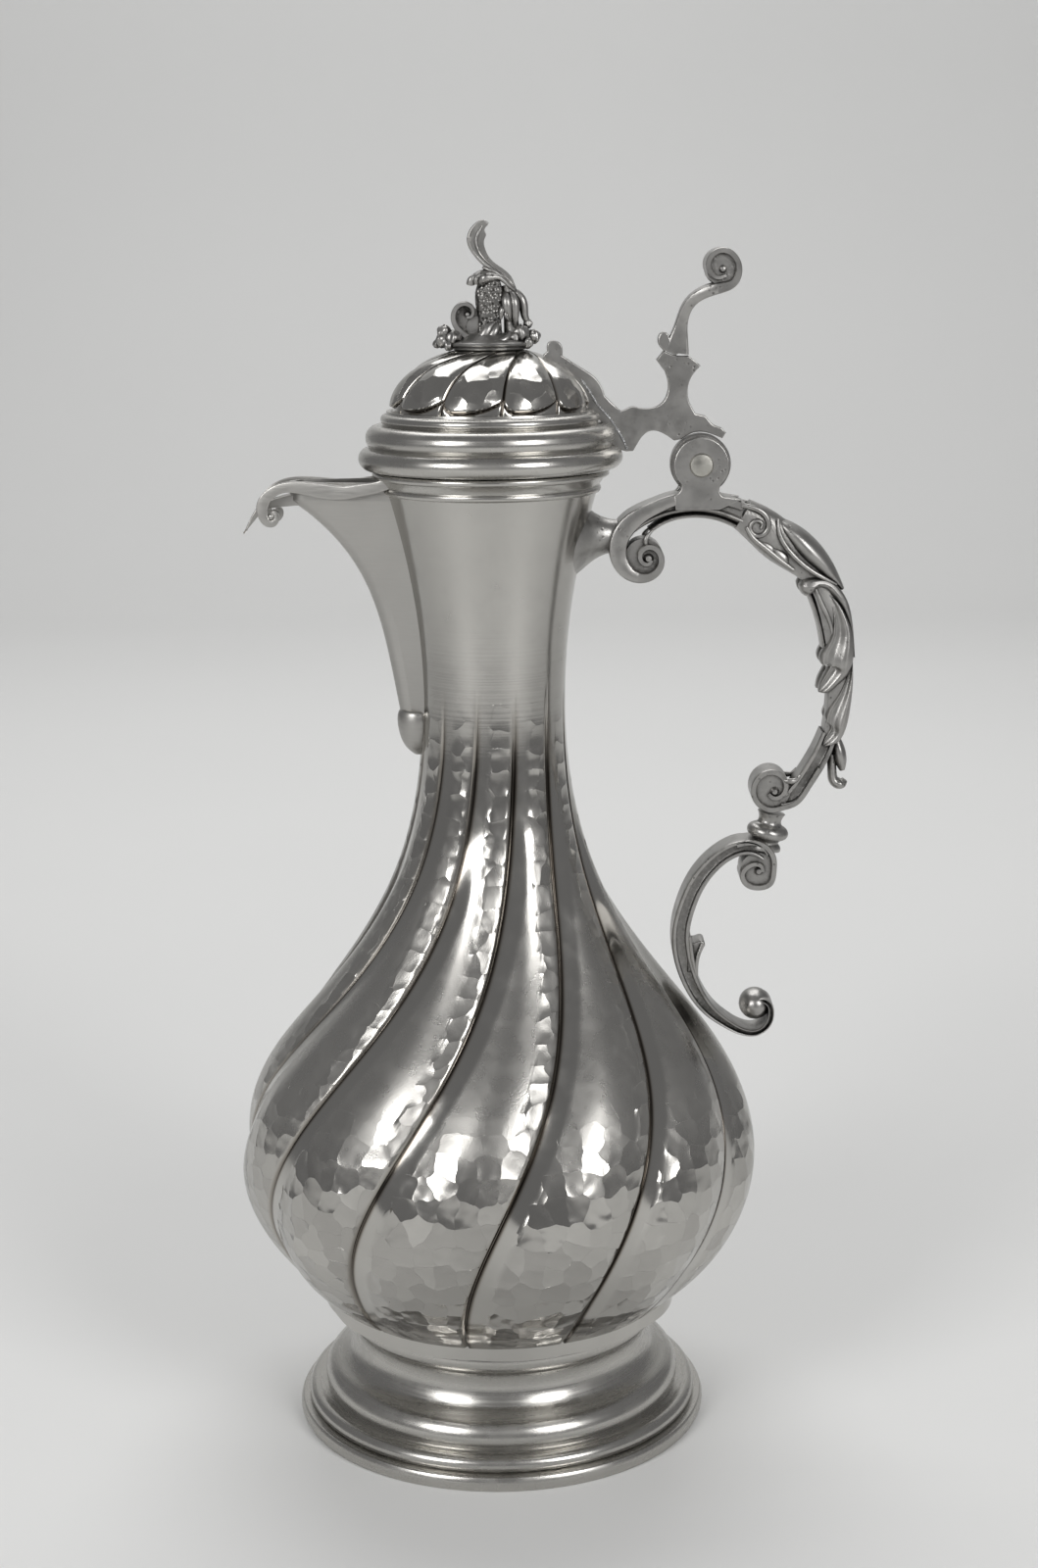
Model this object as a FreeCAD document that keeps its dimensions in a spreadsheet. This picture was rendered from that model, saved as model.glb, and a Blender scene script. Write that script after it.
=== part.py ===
import FreeCAD, Part
import math
import os
from types import SimpleNamespace

import Sketcher
from FreeCAD import Placement, Rotation, Vector

# Wine jug with a hinged lid, in millimetres.
# The origin is the middle of the standing face, +Z is up, the handle is at +X and the spout at -X.

SIZES = {
    # foot
    "foot_radius": 58.9,
    "foot_height": 33.2,
    "foot_top_radius": 44.4,
    "rim_height": 4.2,
    "rim_width": 8.0,
    "moulding_radius": 56.4,
    "moulding_height": 4.1,
    "torus_radius": 51.4,
    "torus_height": 8.0,
    "cove_radius": 41.2,
    "foot_bead_height": 6.0,
    "sheet_wall": 1.8,
    # body and neck, outside
    "belly_radius": 74.1,
    "belly_height": 78.0,
    "flank_inset": 8.3,
    "flank_drop": 24.0,
    "bulge_inset": 6.4,
    "bulge_rise": 24.0,
    "shoulder_inset": 25.2,
    "shoulder_rise": 50.0,
    "throat_flare": 8.8,
    "throat_rise": 32.0,
    "neck_radius": 20.0,
    "flare_inset": 6.0,
    "flare_drop": 22.8,
    "mouth_radius": 30.6,
    "mouth_height": 273.2,
    "lobe_count": 12,
    "lobe_depth": 2.8,
    "lobe_rise": 24.0,
    "lobe_twist": 58.0,
    "lobe_phase": -99.6,
    # collar round the mouth
    "collar_height": 7.0,
    "collar_depth": 2.4,
    "collar_bead_height": 2.2,
    # spout
    "spout_root_drop": 5.0,
    "spout_root_reach": 26.0,
    "spout_reach": 63.0,
    "spout_top_drop": 2.8,
    "spout_root_width": 11.5,
    "spout_keel_radius": 3.2,
    "spout_nose_radius": 5.0,
    "spout_wall": 1.6,
    "spout_notch": 5.0,
    "tongue_seat": 2.0,
    "tongue_reach": 4.8,
    "tongue_drop": 9.3,
    "lip_height": 3.0,
    "lip_thickness": 2.4,
    "lip_scroll_radius": 3.8,
    "lip_scroll_drop": 9.0,
    "drop_height": 13.0,
    "drop_radius": 5.9,
    # lid
    "lid_gap": 0.3,
    "lid_radius": 36.0,
    "lid_ring_height": 15.8,
    "lower_torus_height": 6.4,
    "upper_torus_height": 5.7,
    "dome_radius": 27.4,
    "dome_height": 16.0,
    "dome_top_radius": 9.0,
    "dome_lobes": 10,
    "dome_lobe_depth": 1.2,
    "dome_twist": 40.0,
    "dome_phase": -88.5,
    "bezel_depth": 4.6,
    "bezel_clearance": 0.5,
    "bezel_wall": 1.5,
    # hinge, strap and thumbpiece
    "hinge_offset": 21.0,
    "hinge_rise": 0.9,
    "ear_radius": 7.5,
    "handle_width": 12.0,
    "knuckle_radius": 8.2,
    "knuckle_width": 5.0,
    "hinge_gap": 0.35,
    "pin_radius": 3.3,
    "pin_head": 0.8,
    "pin_clearance": 0.05,
    "pin_fit": 0.01,
    "strap_thickness": 4.0,
    "strap_rise": 30.4,
    "thumb_rise": 22.6,
    "thumb_lean": 11.9,
    "thumb_roll_radius": 5.7,
    "thumb_width": 13.0,
    # handle
    "arch_length": 11.5,
    "arch_drop": 14.3,
    "arch_depth": 9.2,
    "arch_reach": 24.5,
    "arch_fall": 31.5,
    "stub_radius": 14.0,
    "stub_end_radius": 4.4,
    "stub_drop": 19.5,
    "grip_reach": 38.1,
    "grip_depth": 12.2,
    "grip_width": 15.0,
    "grip_roll_radius": 6.3,
    "knop_radius": 6.0,
    "knop_neck_radius": 3.4,
    "knop_length": 10.6,
    "knop_tilt": 14.0,
    "scroll_height": 58.7,
    "scroll_width": 31.3,
    "scroll_thickness": 10.0,
    "handle_height": 161.9,
    "solder_depth": 0.5,
    # finial
    "finial_base_radius": 13.4,
    "finial_base_height": 4.2,
    "bead_count": 10,
    "bead_radius": 2.2,
    "finial_scroll_height": 14.2,
    "finial_scroll_width": 9.0,
    "plume_height": 17.0,
    "screw_radius": 1.8,
    "screw_head_radius": 4.2,
    "screw_head_height": 2.2,
    "screw_grip": 3.2,
    "screw_clearance": 0.1,
}

doc = FreeCAD.newDocument("wine_jug")
sheet = doc.addObject("Spreadsheet::Sheet", "sizes")


def add_cell(alias, number):
    row = len(sheet.getUsedCells()) // 2 + 1
    sheet.set(f"A{row}", alias)
    sheet.set(f"B{row}", str(number))
    sheet.setAlias(f"B{row}", alias)


for size_name, size_value in SIZES.items():
    add_cell(size_name, size_value)
doc.recompute()


class Size:
    """A length together with the sheet formula that gives it."""

    def __init__(self, value, formula):
        self.value = value
        self.formula = formula

    def __add__(self, other):
        other = as_size(other)
        return Size(self.value + other.value, f"({self.formula} + {other.formula})")

    def __sub__(self, other):
        other = as_size(other)
        return Size(self.value - other.value, f"({self.formula} - {other.formula})")

    def __mul__(self, factor):
        factor = as_size(factor)
        return Size(self.value * factor.value, f"({self.formula} * {factor.formula})")

    def __rmul__(self, factor):
        return self * factor

    def __neg__(self):
        return Size(-self.value, f"(-1 * {self.formula})")


def as_size(number):
    return number if isinstance(number, Size) else Size(float(number), f"({float(number)})")


def from_sheet(alias):
    return Size(float(sheet.get(alias)), f"sizes.{alias}")


# "bound" holds the sizes with their formulas, "plain" the same sizes as numbers
bound = SimpleNamespace(**{name: from_sheet(name) for name in SIZES})
plain = SimpleNamespace(**{name: float(sheet.get(name)) for name in SIZES})

ZERO = as_size(0)


def bind(thing, prop, length):
    thing.setExpression(prop, as_size(length).formula)


# Sketches, revolved pieces and plates


def own_plane(body, role):
    return next(plane for plane in body.Origin.OriginFeatures if plane.Role == role)


def new_sketch(body, name):
    sketch = body.newObject("Sketcher::SketchObject", name)
    sketch.AttachmentSupport = (own_plane(body, "XZ_Plane"), [""])
    sketch.MapMode = "FlatFace"
    return sketch


def flat(point):
    return Vector(as_size(point[0]).value, as_size(point[1]).value, 0)


def arc_through(start, middle, end):
    """Arc of a circle in the sketch plane, and whether it runs from start to end anticlockwise."""
    circle = Part.Circle(start, middle, end)
    center = circle.Center
    turns_left = (middle - start).cross(end - middle).z > 0
    first, last = (start, end) if turns_left else (end, start)
    angles = [math.atan2(p.y - center.y, p.x - center.x) for p in (first, last)]
    level = Part.Circle(center, Vector(0, 0, 1), circle.Radius)
    return Part.ArcOfCircle(level, angles[0], angles[1]), turns_left


def draw_outline(sketch, start, runs):
    """Outline of runs, (end,) for a line or (through, end) for an arc, that a line closes if need be."""
    if runs[-1][-1] is not start:
        runs = runs + [(start,)]
    corners = [start] + [run[-1] for run in runs]
    curves = []
    guides = []
    for number, run in enumerate(runs):
        begin, finish = flat(corners[number]), flat(corners[number + 1])
        if len(run) == 1:
            curves.append((sketch.addGeometry(Part.LineSegment(begin, finish)), 1, 2))
            continue
        arc, turns_left = arc_through(begin, flat(run[0]), finish)
        index = sketch.addGeometry(arc)
        curves.append((index, 1, 2) if turns_left else (index, 2, 1))
        guides.append((index, run[0]))
    constraints = []
    formulas = []

    def place(geometry, end, point):
        for kind, length in zip(("DistanceX", "DistanceY"), map(as_size, point)):
            formulas.append((len(constraints), length.formula))
            constraints.append(Sketcher.Constraint(kind, geometry, end, length.value))

    for number, (index, head, tail) in enumerate(curves):
        after, after_head, _ = curves[(number + 1) % len(curves)]
        constraints.append(Sketcher.Constraint("Coincident", index, tail, after, after_head))
        place(index, head, corners[number])
    for index, through in guides:
        point = sketch.addGeometry(Part.Point(flat(through)), True)
        place(point, 1, through)
        constraints.append(Sketcher.Constraint("PointOnObject", point, 1, index))
    sketch.addConstraint(constraints)
    for number, formula in formulas:
        sketch.setExpression(f"Constraints[{number}]", formula)


def revolved(name, start, runs):
    """Body turned about its own Z axis."""
    body = doc.addObject("PartDesign::Body", name)
    sketch = new_sketch(body, f"{name}_profile")
    draw_outline(sketch, start, runs)
    turn = body.newObject("PartDesign::Revolution", f"{name}_turn")
    turn.Profile = sketch
    turn.ReferenceAxis = (sketch, ["V_Axis"])
    turn.Angle = 360
    return body


def plate(name, start, runs, thickness):
    """Flat casting in the XZ plane, as thick to one side as to the other."""
    body = doc.addObject("PartDesign::Body", name)
    sketch = new_sketch(body, f"{name}_outline")
    draw_outline(sketch, start, runs)
    pad = body.newObject("PartDesign::Pad", f"{name}_pad")
    pad.Profile = sketch
    pad.SideType = "Symmetric"
    bind(pad, "Length", thickness)
    return body


def add_circle(sketch, radius):
    """Circle about the origin of the sketch."""
    index = sketch.addGeometry(Part.Circle(Vector(0, 0, 0), Vector(0, 0, 1), radius.value))
    sketch.addConstraint(Sketcher.Constraint("Coincident", index, 3, -1, 1))
    number = sketch.addConstraint(Sketcher.Constraint("Radius", index, radius.value))
    sketch.setExpression(f"Constraints[{number}]", radius.formula)


def round_pocket(body, name, radius, depth):
    """Round cut about the body's Y axis, as deep to one side as to the other."""
    sketch = new_sketch(body, f"{name}_circle")
    add_circle(sketch, radius)
    cut = body.newObject("PartDesign::Pocket", name)
    cut.Profile = sketch
    cut.SideType = "Symmetric"
    bind(cut, "Length", depth)


def seat(thing, x=ZERO, y=ZERO, z=ZERO):
    for axis, length in zip("xyz", (x, y, z)):
        bind(thing, f"Placement.Base.{axis}", length)


def cut_by(name, base, tool):
    cut = doc.addObject("Part::Cut", name)
    cut.Base = base
    cut.Tool = tool
    return cut


def joined(name, base, tool):
    fuse = doc.addObject("Part::Fuse", name)
    fuse.Base = base
    fuse.Tool = tool
    return fuse


def shaped(name, shape):
    feature = doc.addObject("Part::Feature", name)
    feature.Shape = shape
    return feature


# Free forms


def ease(share):
    share = min(max(share, 0.0), 1.0)
    return share * share * (3 - 2 * share)


def oval(center, across, half_thick, half_wide):
    """Closed oval section in the plane of the direction across and the Y axis."""
    points = []
    for step in range(8):
        angle = step * math.pi / 4
        sideways = Vector(0, half_wide * math.sin(angle), 0)
        points.append(center + across * (half_thick * math.cos(angle)) + sideways)
    curve = Part.BSplineCurve()
    curve.interpolate(points, PeriodicFlag=True)
    return Part.Wire([curve.toShape()])


def oval_bar(stations, first_across=None):
    """Bar through stations (x, z, thickness, width), each section square to the line of the bar."""
    spots = [Vector(x, 0, z) for x, z, _, _ in stations]
    wires = []
    for number, (_, _, thickness, width) in enumerate(stations):
        before = spots[max(number - 1, 0)]
        after = spots[min(number + 1, len(spots) - 1)]
        along = (after - before).normalize()
        across = Vector(-along.z, 0, along.x)
        if number == 0 and first_across is not None:
            across = first_across
        wires.append(oval(spots[number], across, thickness / 2, width / 2))
    return Part.makeLoft(wires, True, False)


BARREL_END_SHARE = 0.8


def barrel(x, z, radius, width):
    """Rolled scroll end: a drum along Y that swells in the middle."""
    end_radius = BARREL_END_SHARE * radius
    half = width / 2
    low, high = Vector(end_radius, -half, 0), Vector(end_radius, half, 0)
    arc = Part.Arc(low, Vector(radius, 0, 0), high).toShape()
    sides = Part.makePolygon([high, Vector(0, half, 0), Vector(0, -half, 0), low])
    drum = Part.Face(Part.Wire([arc] + sides.Edges)).revolve(Vector(0, 0, 0), Vector(0, 1, 0), 360)
    drum.translate(Vector(x, 0, z))
    return drum


def lobed_wire(radius, depth, height, turn, count):
    """Ring of arcs that swell to radius and meet in grooves that are depth deep."""
    step = 2 * math.pi / count
    start = math.radians(turn)

    def spot(distance, angle):
        return Vector(distance * math.cos(angle), distance * math.sin(angle), height)

    arcs = []
    for number in range(int(count)):
        left = start + number * step
        crest = spot(radius, left + step / 2)
        arc = Part.Arc(spot(radius - depth, left), crest, spot(radius - depth, left + step))
        arcs.append(arc.toShape())
    return Part.Wire(arcs)


def block(low, high):
    box = Part.makeBox(high.x - low.x, high.y - low.y, high.z - low.z)
    box.translate(low)
    return box


SLIDE_STEPS = 12


def slide_to_touch(shape, target, direction):
    """How far a shape moves along direction until it meets target."""
    moved = 0.0
    for _ in range(SLIDE_STEPS):
        moved += shape.translated(direction * moved).distToShape(target)[0]
    return moved


# Body of the jug: a raised shell with swirled lobes

BODY_SECTIONS = 18
# Place of the narrowest part of the neck on the way from the throat to the mouth
NECK_SHARE = 0.4594
shoulder_height = bound.belly_height + bound.shoulder_rise
throat_height = shoulder_height + bound.throat_rise
neck_height = throat_height + NECK_SHARE * (bound.mouth_height - throat_height)


def body_profile():
    p = plain
    spots = [
        (p.foot_top_radius, p.foot_height),
        (p.belly_radius - p.flank_inset, p.belly_height - p.flank_drop),
        (p.belly_radius, p.belly_height),
        (p.belly_radius - p.bulge_inset, p.belly_height + p.bulge_rise),
        (p.belly_radius - p.shoulder_inset, shoulder_height.value),
        (p.neck_radius + p.throat_flare, throat_height.value),
        (p.neck_radius, neck_height.value),
        (p.mouth_radius - p.flare_inset, p.mouth_height - p.flare_drop),
        (p.mouth_radius, p.mouth_height),
    ]
    curve = Part.BSplineCurve()
    curve.interpolate([Vector(radius, 0, height) for radius, height in spots])
    return curve


def radius_at(height):
    """Outside radius of the body at a height, on the crests of the lobes."""
    level = Part.Line(Vector(0, 0, height), Vector(1, 0, height))
    return max(point.X for point in body_profile().intersect(level))


def lobe_turn(height):
    share = (height - plain.foot_height) / (neck_height.value - plain.foot_height)
    return plain.lobe_phase + plain.lobe_twist * ease(share)


def lobe_depth(height):
    rise = ease((height - plain.foot_height) / plain.lobe_rise)
    fall = 1 - ease((height - plain.belly_height) / (neck_height.value - plain.belly_height))
    return plain.lobe_depth * rise * fall


def lobed_solid(spots):
    wires = [lobed_wire(r, lobe_depth(z), z, lobe_turn(z), plain.lobe_count) for r, z in spots]
    return Part.makeLoft(wires, True, False)


def body_spots(wall):
    """Points (radius, height) of the body's profile, moved level towards the axis by a wall's thickness."""
    curve = body_profile()
    first, last = curve.FirstParameter, curve.LastParameter
    spots = []
    for number in range(BODY_SECTIONS + 1):
        place = first + (last - first) * number / BODY_SECTIONS
        point = curve.value(place)
        along = curve.tangent(place)[0]
        spots.append((point.x - wall / along.z, point.z))
    return spots


def body_hollow():
    """Room inside the body, from its floor to just above the mouth."""
    spots = body_spots(plain.sheet_wall)
    top_r, top_z = spots[-1]
    spots[-1] = (top_r, top_z + plain.sheet_wall)
    side = plain.belly_radius
    low = Vector(-2 * side, -2 * side, 0)
    floor = block(low, Vector(2 * side, 2 * side, plain.foot_height + plain.sheet_wall))
    return lobed_solid(spots).cut(floor)


def collar_room():
    """Disc that the collar fills, so that the spout ends against the collar's outer face."""
    room = Part.makeCylinder(plain.mouth_radius + plain.collar_depth, plain.collar_height)
    room.translate(Vector(0, 0, plain.mouth_height - plain.collar_height))
    return room


body_outside = lobed_solid(body_spots(0.0))
neck_outside = body_outside.fuse(collar_room())
body_solid = shaped("body_solid", body_outside)
neck_solid = shaped("neck_solid", neck_outside)

# Spout: an open beak with straight sides and a round nose

SPOUT_LEVELS = 7
SPOUT_EVEN_SHARE = 0.3
SPOUT_ROOT_SHARE = 0.4
spout_top = plain.mouth_height - plain.spout_top_drop
spout_root = neck_height - bound.spout_root_drop


def spout_flare(height):
    """Share of the spout's height at a level, and how far its nose is from the axis there."""
    whole = (height - spout_root.value) / (spout_top - spout_root.value)
    flare = SPOUT_EVEN_SHARE * whole + (1 - SPOUT_EVEN_SHARE) * whole**4
    return whole, plain.spout_root_reach + (plain.spout_reach - plain.spout_root_reach) * flare


def spout_loft(offset, start_height):
    """Beak through level sections, its faces moved inwards by offset."""
    p = plain
    root = SPOUT_ROOT_SHARE * p.neck_radius
    wide = p.spout_root_width - offset
    wires = []
    for number in range(SPOUT_LEVELS + 1):
        height = start_height + (spout_top - start_height) * number / SPOUT_LEVELS
        whole, reach = spout_flare(height)
        reach -= offset
        nose = p.spout_keel_radius + (p.spout_nose_radius - p.spout_keel_radius) * whole - offset / 2
        corners = [
            Vector(-root, -wide, height),
            Vector(nose - reach, -nose, height),
            Vector(nose - reach, nose, height),
            Vector(-root, wide, height),
        ]
        edges = [
            Part.LineSegment(corners[0], corners[1]).toShape(),
            Part.Arc(corners[1], Vector(-reach, 0, height), corners[2]).toShape(),
            Part.LineSegment(corners[2], corners[3]).toShape(),
            Part.LineSegment(corners[3], corners[0]).toShape(),
        ]
        wires.append(Part.Wire(edges))
    return Part.makeLoft(wires, True, False)


def spout_channel():
    """Room inside the spout, which also goes through the wall of the neck."""
    return spout_loft(plain.spout_wall, spout_root.value + 4 * plain.spout_wall)


def make_body_shell():
    p = plain
    slot_top = p.mouth_height - p.collar_height - 2 * p.sheet_wall
    below_collar = block(Vector(-p.spout_reach, -p.spout_reach, 0), Vector(0, p.spout_reach, slot_top))
    slot = spout_channel().common(below_collar)
    return shaped("body_shell", body_outside.cut(body_hollow()).cut(slot))


def make_spout_shell():
    p = plain
    edge = spout_top - p.spout_notch
    inner = p.tongue_seat - spout_flare(edge)[1]
    half = p.spout_nose_radius - p.spout_wall / 2
    low = Vector(-2 * p.spout_reach, -2 * half, edge)
    notch = block(low, Vector(inner, 2 * half, spout_top + p.spout_notch))
    trough = spout_loft(0.0, spout_root.value).cut(spout_channel()).cut(notch)
    side = [
        Vector(inner, -half, edge - p.spout_wall),
        Vector(inner, -half, edge),
        Vector(-p.spout_reach, -half, edge),
        Vector(-p.spout_reach - p.tongue_reach, -half, edge - p.tongue_drop),
        Vector(p.spout_wall - p.spout_reach, -half, edge - 2 * p.spout_wall),
    ]
    tongue = Part.Face(Part.makePolygon(side + side[:1])).extrude(Vector(0, 2 * half, 0))
    return shaped("spout_shell", trough.fuse(tongue).cut(neck_outside).removeSplitter())


def make_spout_lip(name, side):
    """Scroll strip along one upper edge of the spout: side is -1 in front and 1 behind."""
    b, p = bound, plain
    length = b.spout_reach - b.spout_nose_radius
    drop = -b.lip_scroll_drop
    radius = b.lip_scroll_radius
    start_x = -0.5 * radius
    runs = [
        ((0.55 * length, -0.3 * b.lip_height), (0.25 * length, ZERO)),
        ((-0.95 * radius, -0.75 * b.lip_height), (start_x - radius, drop)),
        ((start_x, drop - radius), (start_x + radius, drop)),
        ((start_x + 0.7 * radius, drop + 0.7 * radius), (start_x + 0.3 * radius, drop + radius)),
        ((0.5 * radius, -1.4 * b.lip_height), (0.15 * length, -b.lip_height)),
        ((0.55 * length, -1.2 * b.lip_height), (length, -b.lip_height)),
    ]
    strip = plate(f"{name}_strip", (length, ZERO), runs, b.lip_thickness)
    root = SPOUT_ROOT_SHARE * p.neck_radius
    run = Vector(p.spout_reach - p.spout_nose_radius - root, p.spout_root_width - p.spout_nose_radius, 0)
    angle = math.degrees(math.atan2(run.y, run.x))
    outwards = Vector(-run.y, run.x, 0).normalize() * (p.lip_thickness / 2)
    spot = Vector(p.spout_nose_radius - p.spout_reach, p.spout_nose_radius, spout_top) + outwards
    spot.y *= side
    strip.Placement = Placement(spot, Rotation(Vector(0, 0, 1), side * angle))
    return cut_by(name, strip, neck_solid)


def make_spout_drop():
    b = bound
    low = -b.drop_height
    runs = [
        ((0.88 * b.drop_radius, ZERO),),
        ((b.drop_radius, 0.3 * low), (0.6 * b.drop_radius, 0.8 * low)),
        ((0.4 * b.drop_radius, 0.94 * low), (0.15 * b.drop_radius, low)),
        ((ZERO, low),),
    ]
    drop = revolved("spout_drop_pear", (ZERO, ZERO), runs)
    seat(drop, x=0.88 * b.drop_radius - b.spout_root_reach, z=spout_root)
    return cut_by("spout_drop", drop, body_solid)


# Foot


def make_foot():
    b = bound
    shelf = b.rim_height + b.moulding_height
    torus_top = shelf + b.torus_height
    cove_low = torus_top + 0.35 * b.moulding_height
    cove_high = b.foot_height - b.foot_bead_height
    inside = b.cove_radius - b.sheet_wall
    lip = b.moulding_radius - 0.5 * b.sheet_wall
    runs = [
        ((b.foot_top_radius, b.foot_height),),
        (
            (b.foot_top_radius + 0.6, b.foot_height - 0.5 * b.foot_bead_height),
            (b.cove_radius + 0.7 * b.sheet_wall, cove_high),
        ),
        ((b.cove_radius, 0.5 * (cove_low + cove_high)), (b.cove_radius + 1.8 * b.sheet_wall, cove_low)),
        ((b.torus_radius - 2.4 * b.sheet_wall, torus_top),),
        ((b.torus_radius, shelf + 0.4 * b.torus_height), (b.torus_radius - 0.4 * b.sheet_wall, shelf)),
        ((b.moulding_radius - 1.8 * b.sheet_wall, shelf),),
        ((b.moulding_radius, b.rim_height + 0.4 * b.moulding_height), (lip, b.rim_height)),
        ((lip - 2 * b.sheet_wall, b.rim_height),),
        ((b.torus_radius - 1.6 * b.sheet_wall, shelf),),
        ((b.cove_radius, torus_top),),
        ((inside, cove_low + b.sheet_wall),),
        ((inside, b.foot_height - b.sheet_wall),),
        ((inside - 2 * b.sheet_wall, b.foot_height - b.sheet_wall),),
    ]
    return revolved("foot", (inside - 2 * b.sheet_wall, b.foot_height), runs)


def make_foot_rim():
    b = bound
    inside = b.foot_radius - b.rim_width
    edge = b.foot_radius - 0.15 * b.rim_height
    runs = [
        ((edge, ZERO),),
        ((b.foot_radius, 0.5 * b.rim_height), (edge, b.rim_height)),
        ((inside, b.rim_height),),
    ]
    return revolved("foot_rim", (inside, ZERO), runs)


# Mouth and lid

lid_floor = bound.mouth_height + bound.lid_gap
ring_top = lid_floor + bound.lid_ring_height
dome_top = ring_top + bound.dome_height


# How much narrower the neck is at the foot of the collar than at the mouth
add_cell("collar_taper", plain.mouth_radius - radius_at(plain.mouth_height - plain.collar_height))
doc.recompute()


def make_mouth_collar():
    b = bound
    low = b.mouth_height - b.collar_height
    bead = b.collar_bead_height
    foot = b.mouth_radius - from_sheet("collar_taper") + 0.25 * b.collar_depth
    band = b.mouth_radius + 0.55 * b.collar_depth
    inner = foot - 2 * b.collar_depth
    runs = [
        ((foot, low),),
        ((foot + 0.5 * b.collar_depth, low + 0.5 * bead), (foot + 0.2 * b.collar_depth, low + bead)),
        ((band, b.mouth_height - bead),),
        ((b.mouth_radius + b.collar_depth, b.mouth_height - 0.5 * bead), (band, b.mouth_height)),
        ((inner, b.mouth_height),),
    ]
    return cut_by("mouth_collar", revolved("mouth_collar_ring", (inner, low), runs), body_solid)


def lid_ring_outside():
    """Runs of the lid's outside from its bottom edge to the seat of the dome."""
    b = bound
    waist = lid_floor + b.lower_torus_height
    step = waist + b.upper_torus_height
    neck = b.dome_radius + 0.5 * b.sheet_wall
    return [
        ((b.lid_radius - 1.2 * b.sheet_wall, lid_floor),),
        (
            (b.lid_radius, lid_floor + 0.5 * b.lower_torus_height),
            (b.lid_radius - 1.6 * b.sheet_wall, waist),
        ),
        (
            (b.lid_radius - b.sheet_wall, waist + 0.5 * b.upper_torus_height),
            (b.lid_radius - 2.8 * b.sheet_wall, step),
        ),
        ((neck + b.sheet_wall, step),),
        ((neck, step + 0.4 * (ring_top - step)), (neck, ring_top)),
    ]


bezel_low = plain.mouth_height - plain.bezel_depth
add_cell("mouth_taper", plain.mouth_radius - radius_at(bezel_low))
doc.recompute()
bezel_outside = bound.mouth_radius - from_sheet("mouth_taper") - bound.sheet_wall - bound.bezel_clearance
bezel_inside = bezel_outside - bound.bezel_wall


def make_lid_ring():
    b = bound
    waist = lid_floor + b.lower_torus_height
    step = waist + b.upper_torus_height
    wall = 1.2 * b.sheet_wall
    inner_dome = b.dome_radius - 0.7 * b.sheet_wall
    runs = lid_ring_outside() + [
        ((inner_dome, ring_top),),
        ((inner_dome, step),),
        ((b.lid_radius - 2.8 * b.sheet_wall - wall, step - 0.7 * wall),),
        ((b.lid_radius - 1.6 * b.sheet_wall - wall, waist),),
        ((b.lid_radius - 1.2 * b.sheet_wall - wall, lid_floor + wall),),
        ((bezel_inside, lid_floor + wall),),
    ]
    return revolved("lid_ring", (bezel_inside, lid_floor), runs)


def make_lid_bezel():
    low = lid_floor - bound.bezel_depth
    runs = [((bezel_outside, low),), ((bezel_outside, lid_floor),), ((bezel_inside, lid_floor),)]
    return revolved("lid_bezel", (bezel_inside, low), runs)


DOME_SECTIONS = 7


def dome_solid(offset):
    """Swirled cap, its faces moved inwards by offset."""
    p = plain
    last = math.acos(p.dome_top_radius / p.dome_radius)
    wires = []
    for number in range(DOME_SECTIONS + 1):
        share = number / DOME_SECTIONS
        angle = last * share
        height = ring_top.value + (p.dome_height - offset) * math.sin(angle) / math.sin(last)
        depth = p.dome_lobe_depth * math.sin(math.pi * share) ** 0.5
        turn = p.dome_phase + p.dome_twist * share
        radius = p.dome_radius * math.cos(angle) - offset
        wires.append(lobed_wire(radius, depth, height, turn, p.dome_lobes))
    return Part.makeLoft(wires, True, False)


dome_outside = dome_solid(0.0)


def make_lid_dome():
    p = plain
    hole = Part.makeCylinder(p.screw_radius + p.screw_clearance, 2 * p.dome_height)
    hole.translate(Vector(0, 0, ring_top.value))
    return shaped("lid_dome", dome_outside.cut(dome_solid(p.sheet_wall)).cut(hole))


def make_lid_solid():
    """The lid's whole outside, which the strap is fitted to."""
    runs = [((ZERO, lid_floor),)] + lid_ring_outside()
    ring = revolved("lid_ring_solid", (ZERO, ring_top), runs)
    return joined("lid_solid", ring, shaped("lid_dome_solid", dome_outside))


# Hinge, strap and thumbpiece, in a frame whose origin is the axis of the hinge

hinge_x = bound.lid_radius + bound.hinge_offset
hinge_z = bound.mouth_height + bound.hinge_rise
SEAM_LEFT_SHARE = 0.48
SEAM_RIGHT_SHARE = 0.16
SEAM_SLOPE = 0.95


def make_hinge_pin():
    b = bound
    half = 0.5 * b.handle_width
    tip = 0.3 * b.pin_radius
    end = half + b.pin_head
    runs = [
        ((tip, -end),),
        ((0.75 * b.pin_radius, -half - 0.6 * b.pin_head), (b.pin_radius, -half)),
        ((b.pin_radius, half),),
        ((0.75 * b.pin_radius, half + 0.6 * b.pin_head), (tip, end)),
        ((ZERO, end),),
    ]
    pin = revolved("hinge_pin", (ZERO, -end), runs)
    pin.Placement = Placement(Vector(hinge_x.value, 0, hinge_z.value), Rotation(Vector(1, 0, 0), 90))
    return pin


def make_lid_knuckle():
    b = bound
    knuckle = doc.addObject("PartDesign::Body", "lid_knuckle")
    sketch = new_sketch(knuckle, "lid_knuckle_ring")
    add_circle(sketch, b.knuckle_radius)
    add_circle(sketch, b.pin_radius + b.pin_clearance)
    pad = knuckle.newObject("PartDesign::Pad", "lid_knuckle_pad")
    pad.Profile = sketch
    pad.SideType = "Symmetric"
    bind(pad, "Length", b.knuckle_width)
    seat(knuckle, x=hinge_x, z=hinge_z)
    return knuckle


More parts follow.
